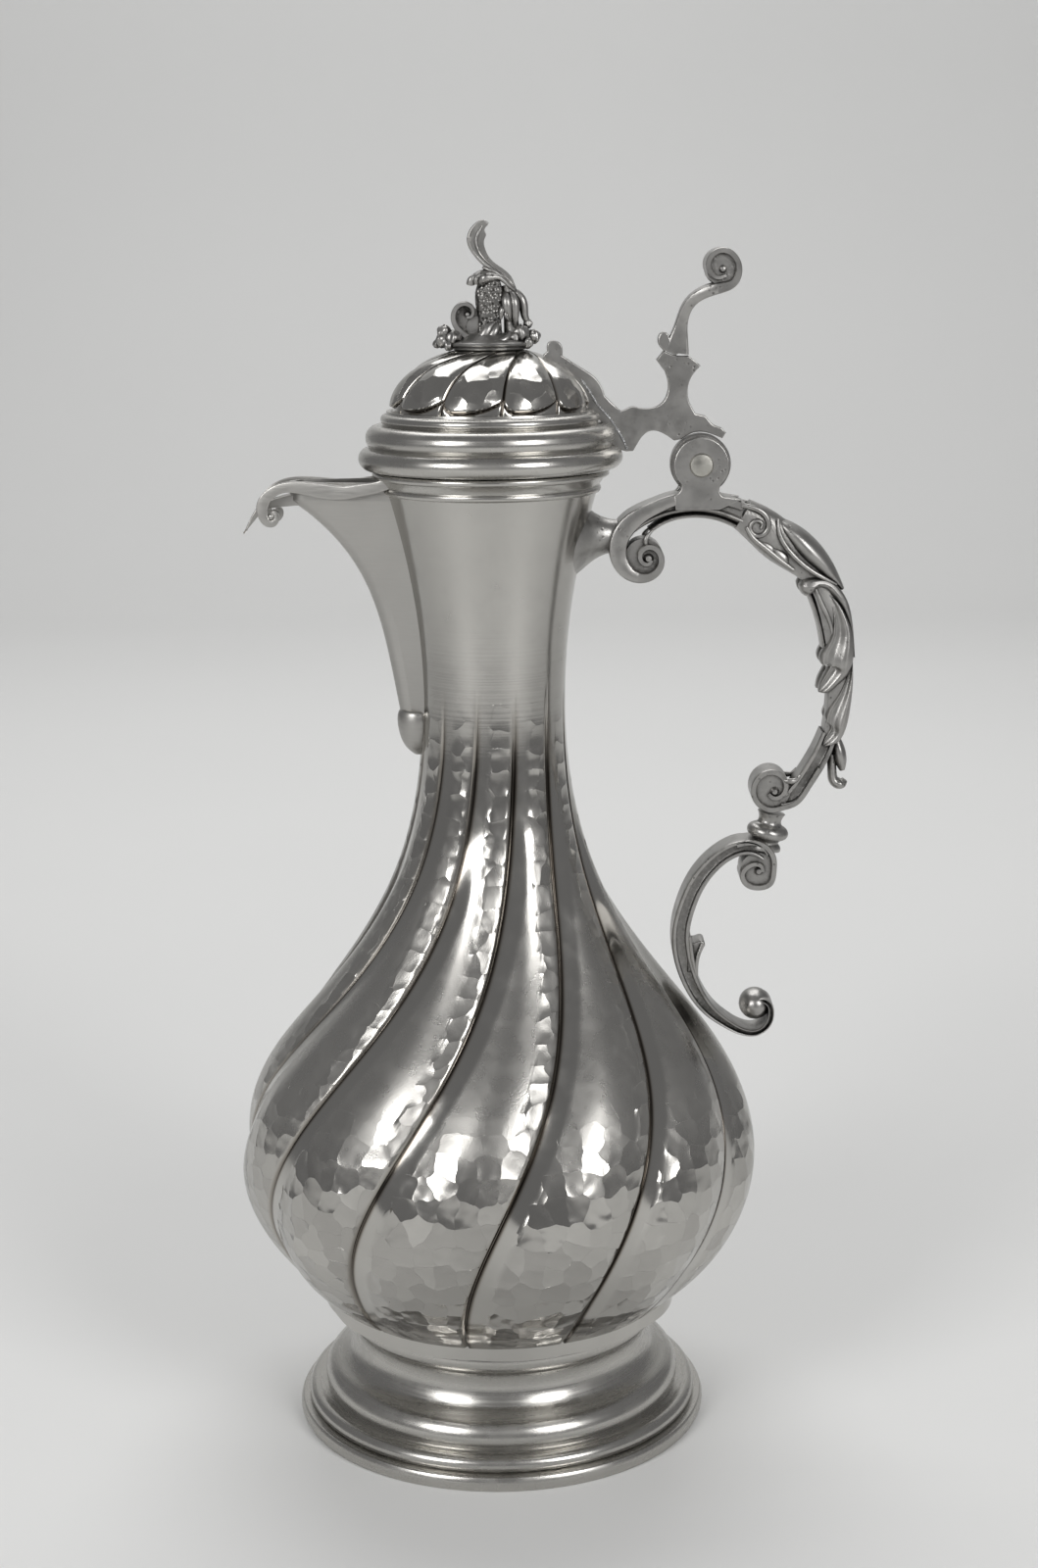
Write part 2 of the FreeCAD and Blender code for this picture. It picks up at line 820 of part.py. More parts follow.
def seam_ends():
    """Left and right end of the seam between the strap and the thumbpiece."""
    b = bound
    left = (-SEAM_LEFT_SHARE * b.hinge_offset, b.strap_rise)
    right = (-SEAM_RIGHT_SHARE * b.hinge_offset, SEAM_SLOPE * b.strap_rise)
    return left, right


def make_lid_strap(lid_solid):
    b = bound
    rise, offset, kr = b.strap_rise, b.hinge_offset, b.knuckle_radius
    seam_left, seam_right = seam_ends()
    dome_x = b.dome_radius - hinge_x
    dome_z = dome_top - hinge_z
    knob_x = dome_x - 0.36 * b.dome_radius
    knob_r = 0.5 * b.strap_thickness
    runs = [
        ((knob_x, dome_z + 1.1 * knob_r), (knob_x + knob_r, dome_z - 0.2 * knob_r)),
        ((-1.48 * offset, 0.84 * rise), (-1.23 * offset, 0.61 * rise)),
        ((-1.03 * offset, 0.47 * rise),),
        ((-0.87 * offset, 0.52 * rise), (-0.7 * offset, 0.49 * rise)),
        ((-0.45 * offset, 0.57 * rise), (-0.46 * offset, 0.82 * rise)),
        ((-0.57 * offset, 0.92 * rise),),
        (seam_left,),
        (seam_right,),
        ((ZERO, 0.87 * rise),),
        ((-0.18 * offset, 0.65 * rise), (-0.07 * offset, 0.44 * rise)),
        ((0.06 * offset, 0.42 * rise),),
        ((0.85 * kr, 1.01 * kr),),
        ((0.6 * kr, 0.8 * kr),),
        ((ZERO, kr), (-0.8 * kr, 0.6 * kr)),
        ((-0.52 * offset, 0.3 * rise), (-0.76 * offset, 0.25 * rise)),
        ((-0.87 * offset, 0.12 * rise),),
        ((-1.3 * offset, 0.1 * rise),),
        ((dome_x - b.sheet_wall, ring_top - hinge_z),),
        ((knob_x - knob_r, dome_z - 0.3 * b.dome_height),),
    ]
    strap = plate("lid_strap_plate", (knob_x - knob_r, dome_z - 0.2 * knob_r), runs, b.strap_thickness)
    seat(strap, x=hinge_x, z=hinge_z)
    return cut_by("lid_strap", strap, lid_solid)


# Line of the thumbpiece as shares of its lean and rise, then thickness and width
THUMB_LINE = [
    (0.0, 0.0, 6.9, 4.6),
    (0.084, 0.252, 4.2, 5.0),
    (0.168, 0.451, 3.2, 6.5),
    (0.395, 0.650, 3.2, 9.0),
    (0.731, 0.783, 4.4, 11.0),
]
THUMB_CURL_RADIUS = 2.3
THUMB_CURL_WIDTH = 5.0


def make_thumbpiece():
    p = plain
    left, right = [Vector(x.value + hinge_x.value, 0, z.value + hinge_z.value) for x, z in seam_ends()]
    foot = (left + right) * 0.5
    stations = [(foot.x + u * p.thumb_lean, foot.z + v * p.thumb_rise, t, w) for u, v, t, w in THUMB_LINE]
    stem = oval_bar(stations, first_across=(right - left).normalize())
    roll = barrel(foot.x + p.thumb_lean, foot.z + p.thumb_rise, p.thumb_roll_radius, p.thumb_width)
    curl_at = left + Vector(0.3, 0, 1.1) * THUMB_CURL_RADIUS
    curl = barrel(curl_at.x, curl_at.z, THUMB_CURL_RADIUS, THUMB_CURL_WIDTH)
    return shaped("thumbpiece", stem.fuse([roll, curl]))


# Handle


def make_handle_arch():
    b = bound
    ear, reach, fall = b.ear_radius, b.arch_reach, b.arch_fall
    high = 0.5 * b.arch_depth - b.arch_drop
    low = -(0.5 * b.arch_depth) - b.arch_drop
    runs = [
        ((0.75 * ear, -1.09 * ear),),
        ((0.66 * ear, -0.9 * ear), (0.7071 * ear, -0.7071 * ear)),
        ((ZERO, ear), (-0.7071 * ear, -0.7071 * ear)),
        ((-0.99 * ear, -1.04 * ear),),
        ((-0.69 * reach, -0.375 * fall), (-0.967 * reach, -0.552 * fall)),
        ((-1.0 * reach, -0.7 * fall), (-0.914 * reach, -0.863 * fall)),
        ((-0.686 * reach, -1.0 * fall), (-0.404 * reach, -0.825 * fall)),
        ((-0.457 * reach, -0.717 * fall), (-0.56 * reach, -0.69 * fall)),
        ((-0.645 * reach, -0.635 * fall),),
        ((-0.55 * reach, -0.575 * fall),),
        ((-0.114 * reach, -0.495 * fall), (b.arch_length, low)),
    ]
    arch = plate("handle_arch", (b.arch_length, high), runs, b.handle_width)
    slot_width = b.knuckle_width + 2 * b.hinge_gap
    round_pocket(arch, "hinge_slot", b.knuckle_radius + b.hinge_gap, slot_width)
    round_pocket(arch, "hinge_bore", b.pin_radius + b.pin_fit, 2 * b.handle_width)
    seat(arch, x=hinge_x, z=hinge_z)
    return arch


def make_neck_stub(arch):
    b = bound
    cone = doc.addObject("Part::Cone", "neck_stub_cone")
    bind(cone, "Radius1", b.stub_radius)
    bind(cone, "Radius2", b.stub_end_radius)
    bind(cone, "Height", hinge_x - 0.92 * b.arch_reach - 0.9 * b.neck_radius)
    cone.Placement.Rotation = Rotation(Vector(0, 1, 0), 90)
    seat(cone, x=0.9 * b.neck_radius, z=hinge_z - b.stub_drop)
    return cut_by("neck_stub", cut_by("neck_stub_fitted", cone, body_solid), arch)


def make_lower_scroll():
    """C scroll in a frame at its lowest point and its side towards the body."""
    wide, high = bound.scroll_width, bound.scroll_height

    def at(u, v):
        return u * wide, v * high

    start = at(0.984, 0.864)
    runs = [
        (at(0.872, 0.969), at(0.655, 0.998)),
        (at(0.288, 0.906), at(0.035, 0.649)),
        (at(0.016, 0.387), at(0.224, 0.152)),
        (at(0.543, 0.019), at(0.751, 0.0)),
        (at(0.92, 0.051), at(0.946, 0.14)),
        (at(0.783, 0.227), at(0.633, 0.14)),
        (at(0.623, 0.08),),
        (at(0.342, 0.17), at(0.211, 0.353)),
        (at(0.3, 0.479),),
        (at(0.166, 0.494),),
        (at(0.259, 0.719), at(0.463, 0.881)),
        (at(0.585, 0.867),),
        (at(0.61, 0.77), at(0.799, 0.727)),
        (at(0.958, 0.775), start),
    ]
    return plate("lower_scroll_plate", start, runs, bound.scroll_thickness)


# Line of the grip: how far it bows out from the way between the hinge and its roll, as a share of its reach,
# its share of that way, then shares of its depth and width
GRIP_LINE = [
    (0.3733, 0.203, 0.84, 0.83),
    (0.5342, 0.255, 1.0, 1.0),
    (0.6716, 0.345, 0.92, 1.0),
    (0.7232, 0.455, 0.75, 0.87),
    (0.6834, 0.586, 0.77, 0.87),
    (0.5942, 0.703, 0.7, 0.8),
    (0.5269, 0.822, 0.49, 0.73),
]
# End of the grip where it curls into its roll, as shares of the roll's radius, and the leaf tip beside it
GRIP_END_LINE = [
    (1.9, 0.85, 0.41, 0.7),
    (0.94, -0.37, 0.37, 0.67),
]
GRIP_TAIL_LINE = [
    (0.08, 0.0, 0.3, 0.6),
    (0.21, 0.72, 0.22, 0.45),
    (0.15, 1.2, 0.14, 0.3),
]


def make_handle_grip(roll):
    p = plain
    start = Vector(hinge_x.value, 0, hinge_z.value)
    way = roll - start
    radius = p.grip_roll_radius
    stations = [(start.x + p.arch_length, start.z - p.arch_drop, p.arch_depth, p.handle_width)]
    for u, v, depth, width in GRIP_LINE:
        spot = start + way * v + Vector(u * p.grip_reach, 0, 0)
        stations.append((spot.x, spot.z, depth * p.grip_depth, width * p.grip_width))
    split = spot
    for u, v, depth, width in GRIP_END_LINE:
        spot = roll + Vector(u * radius, 0, v * radius)
        stations.append((spot.x, spot.z, depth * p.grip_depth, width * p.grip_width))
    bar = oval_bar(stations, first_across=Vector(0, 0, 1))
    tail_stations = []
    for u, v, depth, width in GRIP_TAIL_LINE:
        spot = split + Vector(u * p.grip_width, 0, -v * p.grip_depth)
        tail_stations.append((spot.x, spot.z, depth * p.grip_depth, width * p.grip_width))
    drum = barrel(roll.x, roll.z, radius, 0.8 * p.grip_width)
    return shaped("handle_grip", bar.fuse([drum, oval_bar(tail_stations)]).removeSplitter())


def make_handle_knop(center, grip, scroll):
    b = bound
    half = 0.5 * b.knop_length
    flare = b.knop_neck_radius + 0.2 * b.knop_radius
    runs = [
        ((flare, -half),),
        ((b.knop_neck_radius, -0.7 * half), (0.8 * b.knop_radius, -0.4 * half)),
        ((b.knop_radius, ZERO), (0.8 * b.knop_radius, 0.4 * half)),
        ((b.knop_neck_radius, 0.7 * half), (flare, half)),
        ((ZERO, half),),
    ]
    knop = revolved("handle_knop_turned", (ZERO, -half), runs)
    knop.Placement = Placement(center, Rotation(Vector(0, 1, 0), plain.knop_tilt))
    return cut_by("handle_knop", cut_by("handle_knop_fitted", knop, scroll), grip)


def make_lower_handle():
    """The knop and both scrolls below the hinge, set against the belly."""
    p = plain
    scroll = make_lower_scroll()
    doc.recompute()
    start = Vector(p.belly_radius + p.scroll_width, 0, p.mouth_height - p.handle_height)
    gap = slide_to_touch(scroll.Shape.translated(start), body_outside, Vector(-1, 0, 0))
    scroll.Placement.Base = start - Vector(gap + p.solder_depth, 0, 0)
    fitted = cut_by("handle_lower_scroll", scroll, body_solid)
    tilt = math.radians(p.knop_tilt)
    axis = Vector(math.sin(tilt), 0, math.cos(tilt))
    knop_foot = scroll.Placement.Base + Vector(0.84 * p.scroll_width, 0, 0.965 * p.scroll_height)
    center = knop_foot + axis * (0.4 * p.knop_length)
    roll = center + axis * (0.4 * p.knop_length + p.grip_roll_radius)
    grip = make_handle_grip(roll)
    return [fitted, grip, make_handle_knop(center, grip, fitted)]


# Finial

finial_foot = dome_top + bound.finial_base_height


def make_finial_base():
    b = bound
    radius, height = b.finial_base_radius, b.finial_base_height
    bore = b.screw_radius
    bore_top = dome_top + b.screw_grip
    runs = [
        ((0.86 * radius, dome_top),),
        ((radius, dome_top + 0.3 * height), (0.84 * radius, dome_top + 0.55 * height)),
        ((0.55 * radius, dome_top + 0.7 * height), (0.45 * radius, finial_foot)),
        ((ZERO, finial_foot),),
        ((ZERO, bore_top),),
        ((bore, bore_top),),
    ]
    base = revolved("finial_base", (bore, dome_top), runs)
    bead = base.newObject("PartDesign::AdditiveSphere", "finial_bead")
    bind(bead, "Radius", b.bead_radius)
    seat(bead, x=radius - b.bead_radius, z=dome_top + 0.6 * height)
    ring = base.newObject("PartDesign::PolarPattern", "finial_beads")
    ring.Originals = [bead]
    ring.Axis = (base.Group[0], ["V_Axis"])
    ring.Angle = 360
    bind(ring, "Occurrences", b.bead_count)
    base.Tip = ring
    return base


# Core of the finial as shares of its width and height: x, z, thickness, width
FINIAL_CORE = [
    (0.0, 0.0, 0.95, 0.95),
    (0.0, 0.25, 0.78, 0.78),
    (0.02, 0.6, 0.84, 0.84),
    (-0.07, 0.88, 1.0, 0.83),
    (-0.1, 1.0, 0.66, 0.6),
]
FINIAL_LEAF = [
    (0.3, 0.1, 0.3, 0.6),
    (0.86, 0.35, 0.28, 0.6),
    (0.8, 0.8, 0.26, 0.5),
]
PLUME_LINE = [
    (0.55, -0.06, 4.0, 5.0),
    (0.29, 0.26, 4.6, 5.4),
    (-0.18, 0.48, 4.4, 5.0),
    (-0.36, 0.68, 3.8, 4.4),
    (-0.3, 0.86, 3.0, 3.6),
    (-0.14, 0.95, 1.8, 2.4),
]


def make_finial_scroll():
    p = plain
    wide, high, foot = p.finial_scroll_width, p.finial_scroll_height, finial_foot.value

    def bar(line):
        return oval_bar([(u * wide, foot + v * high, t * wide, w * wide) for u, v, t, w in line])

    volute = barrel(-0.64 * wide, foot + 0.38 * high, 0.4 * wide, 0.6 * wide)
    return shaped("finial_scroll", bar(FINIAL_CORE).fuse([bar(FINIAL_LEAF), volute]).removeSplitter())


def make_finial_plume(scroll):
    p = plain
    foot = finial_foot.value + p.finial_scroll_height
    wide, high = p.finial_scroll_width, p.plume_height
    plume = oval_bar([(u * wide, foot + v * high, t, w) for u, v, t, w in PLUME_LINE])
    return cut_by("finial_plume", shaped("finial_plume_bar", plume), scroll)


def make_finial_screw():
    b = bound
    under = dome_top - b.sheet_wall
    low = under - b.screw_head_height
    top = dome_top + b.screw_grip
    runs = [
        ((0.7 * b.screw_head_radius, low),),
        ((0.95 * b.screw_head_radius, low + 0.4 * b.screw_head_height), (b.screw_head_radius, under)),
        ((b.screw_radius, under),),
        ((b.screw_radius, top),),
        ((ZERO, top),),
    ]
    return revolved("finial_screw", (ZERO, low), runs)


def make_pieces():
    lid_solid = make_lid_solid()
    arch = make_handle_arch()
    finial_scroll = make_finial_scroll()
    return [
        make_body_shell(),
        make_foot(),
        make_foot_rim(),
        make_mouth_collar(),
        make_spout_shell(),
        make_spout_lip("spout_lip_front", -1),
        make_spout_lip("spout_lip_back", 1),
        make_spout_drop(),
        arch,
        make_neck_stub(arch),
        *make_lower_handle(),
        make_hinge_pin(),
        make_lid_ring(),
        make_lid_bezel(),
        make_lid_dome(),
        make_lid_strap(lid_solid),
        make_lid_knuckle(),
        make_thumbpiece(),
        make_finial_base(),
        finial_scroll,
        make_finial_plume(finial_scroll),
        make_finial_screw(),
    ]


def check(pieces):
    failed = [thing.Label for thing in doc.Objects if {"Invalid", "Error"} & set(thing.State)]
    if failed:
        raise RuntimeError(f"not built: {failed}")
    for piece in pieces:
        shape = piece.Shape
        if shape.isNull() or not shape.isValid() or not shape.Solids:
            raise RuntimeError(f"no sound solid: {piece.Label}")
        print(f"{piece.Label}: {len(shape.Solids)} solid, {shape.Volume / 1000:.2f} cm3")


all_pieces = make_pieces()
doc.recompute()
check(all_pieces)
os.makedirs("parts", exist_ok=True)
for finished in all_pieces:
    finished.Shape.exportStep(f"parts/{finished.Label}.step")
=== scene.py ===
import math

import bmesh
import bpy
import numpy as np
from mathutils import Matrix, Vector


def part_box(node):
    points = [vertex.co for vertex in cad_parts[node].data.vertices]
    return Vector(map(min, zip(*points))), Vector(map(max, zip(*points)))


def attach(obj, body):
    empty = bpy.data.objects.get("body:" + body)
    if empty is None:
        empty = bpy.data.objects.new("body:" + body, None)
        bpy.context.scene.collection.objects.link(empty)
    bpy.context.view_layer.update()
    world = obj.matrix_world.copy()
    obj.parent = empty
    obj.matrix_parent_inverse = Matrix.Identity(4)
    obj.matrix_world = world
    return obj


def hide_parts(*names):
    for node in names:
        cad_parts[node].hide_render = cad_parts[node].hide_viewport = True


# Looks of the wine jug. Shapes are worked out in millimetres in the part's own frame, then scaled to metres.

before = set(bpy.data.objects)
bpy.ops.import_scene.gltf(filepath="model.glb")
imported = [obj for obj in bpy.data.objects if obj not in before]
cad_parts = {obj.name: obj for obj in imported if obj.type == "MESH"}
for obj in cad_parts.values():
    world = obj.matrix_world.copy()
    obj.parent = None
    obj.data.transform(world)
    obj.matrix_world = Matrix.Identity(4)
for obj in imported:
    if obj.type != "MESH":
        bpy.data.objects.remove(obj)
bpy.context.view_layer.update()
MM = 0.001


def node_box(name):
    """Lowest and highest corner of a CAD node, in millimetres."""
    low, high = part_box(name)
    return np.array(low) / MM, np.array(high) / MM


pin_low, pin_high = node_box("hinge_pin")
HINGE_X, _, HINGE_Z = (pin_low + pin_high) / 2
FOOT_TOP = node_box("foot")[1][2]
MOUTH = node_box("body_shell")[1][2]
LID_FLOOR = node_box("lid_ring")[0][2]
DOME_FOOT = node_box("lid_dome")[0][2]
DOME_TOP = node_box("lid_dome")[1][2]

# Curves and meshes


def even_turns(count):
    """Angles spread evenly round a circle."""
    return np.arange(count) * 2 * math.pi / count


def running_total(steps):
    return np.concatenate([[0], np.cumsum(steps)])


def ease(share):
    """Smooth step from 0 to 1."""
    share = np.clip(share, 0.0, 1.0)
    return share * share * (3 - 2 * share)


def smooth_line(points, count):
    """Evenly spread points on a natural cubic spline through points, which may carry extra columns."""
    points = np.asarray(points, float)
    gaps = np.linalg.norm(np.diff(points[:, :2], axis=0), axis=1)
    knots = running_total(gaps)
    size = len(points)
    system = np.eye(size)
    right = np.zeros_like(points)
    for row in range(1, size - 1):
        before, after = gaps[row - 1], gaps[row]
        system[row, row - 1:row + 2] = before, 2 * (before + after), after
        rise = (points[row + 1] - points[row]) / after - (points[row] - points[row - 1]) / before
        right[row] = 6 * rise
    bends = np.linalg.solve(system, right)
    places = np.linspace(0, knots[-1], count)
    span = np.clip(np.searchsorted(knots, places, side="right") - 1, 0, size - 2)
    gap = gaps[span][:, None]
    ahead = (places - knots[span])[:, None]
    behind = gap - ahead
    cubic = (bends[span] * behind**3 + bends[span + 1] * ahead**3) / (6 * gap)
    low = (points[span] / gap - bends[span] * gap / 6) * behind
    return cubic + low + (points[span + 1] / gap - bends[span + 1] * gap / 6) * ahead


def arc_points(start, through, end, count):
    """Points after start on the circle through three points."""
    (ax, ay), (bx, by), (cx, cy) = start, through, end
    double = 2 * (ax * (by - cy) + bx * (cy - ay) + cx * (ay - by))
    squares = ax * ax + ay * ay, bx * bx + by * by, cx * cx + cy * cy
    ox = (squares[0] * (by - cy) + squares[1] * (cy - ay) + squares[2] * (ay - by)) / double
    oy = (squares[0] * (cx - bx) + squares[1] * (ax - cx) + squares[2] * (bx - ax)) / double
    first, middle, last = (math.atan2(y - oy, x - ox) for x, y in (start, through, end))
    full = 2 * math.pi
    turn = (last - first) % full
    if (middle - first) % full > turn:
        turn -= full
    radius = math.hypot(ax - ox, ay - oy)
    angles = [first + turn * step / count for step in range(1, count + 1)]
    return [(ox + radius * math.cos(a), oy + radius * math.sin(a)) for a in angles]


def outline(start, runs, count=12):
    """Points of a line of runs: (end,) is straight and (through, end) an arc."""
    points = [start]
    for run in runs:
        if len(run) == 1:
            points.append(run[0])
        else:
            points.extend(arc_points(points[-1], run[0], run[1], count))
    return points


SHARP = math.radians(38)


def finished(mesh):
    """Scales a mesh from millimetres, turns its faces outwards and shades it smooth between sharp edges."""
    mesh.transform(Matrix.Scale(MM, 4))
    shape = bmesh.new()
    shape.from_mesh(mesh)
    bmesh.ops.recalc_face_normals(shape, faces=shape.faces)
    shape.to_mesh(mesh)
    shape.free()
    mesh.shade_smooth()
    mesh.set_sharp_from_angle(angle=SHARP)
    return mesh


def grid_parts(rows, closed=False):
    """Corners and faces over rows of points that are closed rings: the end rings are filled or joined."""
    rows = np.asarray(rows, float)
    count, size = rows.shape[:2]
    index = np.arange(count * size).reshape(count, size)
    if closed:
        index = np.vstack([index, index[:1]])
    after = np.roll(index, -1, axis=1)
    quads = np.stack([index[:-1], after[:-1], after[1:], index[1:]], axis=-1).reshape(-1, 4)
    faces = quads.tolist()
    if not closed:
        faces += [index[0][::-1].tolist(), index[-1].tolist()]
    return rows.reshape(-1, 3), faces


def joined_mesh(name, parts):
    """One mesh from several lists of corners and faces."""
    corners, faces = [], []
    for part_corners, part_faces in parts:
        offset = sum(map(len, corners))
        corners.append(np.asarray(part_corners))
        faces.extend([[corner + offset for corner in face] for face in part_faces])
    mesh = bpy.data.meshes.new(name)
    mesh.from_pydata(np.concatenate(corners).tolist(), [], faces)
    return finished(mesh)


def ring_rows(profile, segments, axis_at=(0.0, 0.0)):
    """Rows of a piece turned about an upright axis, from points (radius, height)."""
    angles = even_turns(segments)
    profile = np.asarray(profile, float)
    x = axis_at[0] + profile[:, :1] * np.cos(angles)
    y = axis_at[1] + profile[:, :1] * np.sin(angles)
    z = np.repeat(profile[:, 1:], segments, axis=1)
    return np.stack([x, y, z], axis=-1)


def turned(name, profile, segments=192):
    """Ring or cap turned about the jug's axis from a closed profile."""
    return joined_mesh(name, [grid_parts(ring_rows(profile, segments), closed=True)])


def drum_parts(x, z, profile, segments=48):
    """Barrel turned about a line along Y at (x, z), from points (radius, y)."""
    rows = ring_rows(profile, segments)
    placed = np.stack([rows[..., 0] + x, rows[..., 2], rows[..., 1] + z], axis=-1)
    return grid_parts(placed)


def sweep_rows(line, section):
    """Rows of a bar in the XZ plane.

    The line has x, z, half thickness and half width, and the section is in shares of the last two.
    """
    line = np.asarray(line, float)
    section = np.asarray(section, float)
    along = np.gradient(line[:, :2], axis=0)
    along /= np.linalg.norm(along, axis=1)[:, None]
    thick = line[:, 2:3] * section[:, 0]
    wide = line[:, 3:4] * section[:, 1]
    x = line[:, :1] - along[:, 1:] * thick
    z = line[:, 1:2] + along[:, :1] * thick
    return np.stack([x, wide, z], axis=-1)


def sweep(line, section):
    return grid_parts(sweep_rows(line, section))


def curl(center, keys):
    """Points of a scroll about center from keys (angle in degrees, radius, half thickness, half width)."""
    points = []
    for angle, radius, thick, wide in keys:
        turn = math.radians(angle)
        points.append((center[0] + radius * math.cos(turn), center[1] + radius * math.sin(turn), thick, wide))
    return points


def circle_section(count):
    angles = even_turns(count)
    return np.stack([np.cos(angles), np.sin(angles)], axis=1)


OVAL = circle_section(28)

BORDER = 0.55
RECESS = 0.66


def band_section():
    """Bar with rounded edges whose two sides have a sunk channel between raised borders."""
    quarter = [
        (1.0, 0.0), (1.0, 0.45), (1.0, 0.8), (0.98, 0.9), (0.93, 0.97), (0.86, 1.0), (BORDER + 0.1, 1.0),
        (BORDER, 0.985), (BORDER - 0.1, RECESS + 0.02), (BORDER - 0.16, RECESS), (0.0, RECESS),
    ]
    half = quarter + [(-n, y) for n, y in reversed(quarter[:-1])]
    return np.array(half + [(n, -y) for n, y in reversed(half[1:-1])])


BAND = band_section()

EYE_PROFILE = [(0.02, -1.0), (0.45, -0.97), (0.8, -0.82), (0.97, -0.6), (1.0, 0.0)]


def boss_profile(radius, half):
    """Profile of a round boss with domed ends."""
    front = [(r * radius, half * y) for r, y in EYE_PROFILE]
    return front + [(r, -y) for r, y in reversed(front[:-1])]


def plate_mesh(points, half, bevel, y=0.0):
    """Corners and faces of a flat casting with rounded edges: points are its outline in the XZ plane."""
    curve = bpy.data.curves.new("outline", "CURVE")
    curve.dimensions = "2D"
    curve.fill_mode = "BOTH"
    curve.extrude = half - bevel
    curve.bevel_depth = bevel
    curve.bevel_resolution = 2
    curve.offset = -bevel
    spline = curve.splines.new("POLY")
    spline.points.add(len(points) - 1)
    for point, (x, z) in zip(spline.points, points):
        point.co = (x, z, 0, 1)
    spline.use_cyclic_u = True
    holder = bpy.data.objects.new("outline", curve)
    mesh = bpy.data.meshes.new_from_object(holder)
    corners = [(corner.co.x, y - corner.co.z, corner.co.y) for corner in mesh.vertices]
    faces = [list(face.vertices) for face in mesh.polygons]
    bpy.data.objects.remove(holder)
    bpy.data.curves.remove(curve)
    bpy.data.meshes.remove(mesh)
    return corners, faces


def add_piece(name, mesh, body, nodes, material):
    """Puts a mesh in the scene as a piece that rides on a body and stands for CAD nodes."""
    mesh.materials.append(material)
    piece = bpy.data.objects.new(name, mesh)
    bpy.context.scene.collection.objects.link(piece)
    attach(piece, body)
    if nodes:
        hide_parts(*nodes)


def add_hollows(mesh, rounds=3):
    """Stores how deep each corner lies in a hollow, which the materials darken as painted shade with a brown
    tarnish tint.
    """
    count = len(mesh.vertices)
    spots = np.zeros(count * 3)
    mesh.vertices.foreach_get("co", spots)
    spots = spots.reshape(-1, 3)
    normals = np.zeros(count * 3)
    mesh.vertices.foreach_get("normal", normals)
    normals = normals.reshape(-1, 3)
    ends = np.zeros(len(mesh.edges) * 2, int)
    mesh.edges.foreach_get("vertices", ends)
    ends = ends.reshape(-1, 2)
    shares = np.maximum(np.bincount(ends.ravel(), minlength=count), 1)

    def around(values):
        total = np.zeros_like(values)
        np.add.at(total, ends[:, 0], values[ends[:, 1]])
        np.add.at(total, ends[:, 1], values[ends[:, 0]])
        return (total.T / shares).T

    lengths = np.linalg.norm(spots[ends[:, 0]] - spots[ends[:, 1]], axis=1)
    reach = np.zeros(count)
    np.add.at(reach, ends[:, 0], lengths)
    np.add.at(reach, ends[:, 1], lengths)
    depth = np.einsum("ij,ij->i", around(spots) - spots, normals) * shares / np.maximum(reach, 1e-9)
    for _ in range(rounds):
        depth = 0.5 * depth + 0.5 * around(depth)
    attribute = mesh.attributes.new("hollow", "FLOAT", "POINT")
    attribute.data.foreach_set("value", depth.astype(np.float32))
    return mesh


def add_casting(name, parts, body):
    add_piece(name, joined_mesh(name, parts), body, [name], CAST)


def add_sheet(name, parts):
    mesh = add_hollows(joined_mesh(name, parts))
    add_piece(name, mesh, "jug", [name], SHEET)


# Materials

PEWTER = (0.5, 0.488, 0.462, 1)
CAST_PEWTER = (0.38, 0.372, 0.358, 1)
CAST_SHADE = (0.055, 0.052, 0.048, 1)
SHADE_REACH = 2.6
# Near-black that stands for tarnish and for painted shade in hollows and grooves
TARNISH_AND_SHADE = (0.05, 0.043, 0.036, 1)
BROWN = (0.2, 0.15, 0.095, 1)
SOLDER = (0.46, 0.465, 0.47, 1)
SHEET_PEWTER = (0.43, 0.42, 0.4, 1)
PIN_METAL = (0.5, 0.49, 0.45, 1)


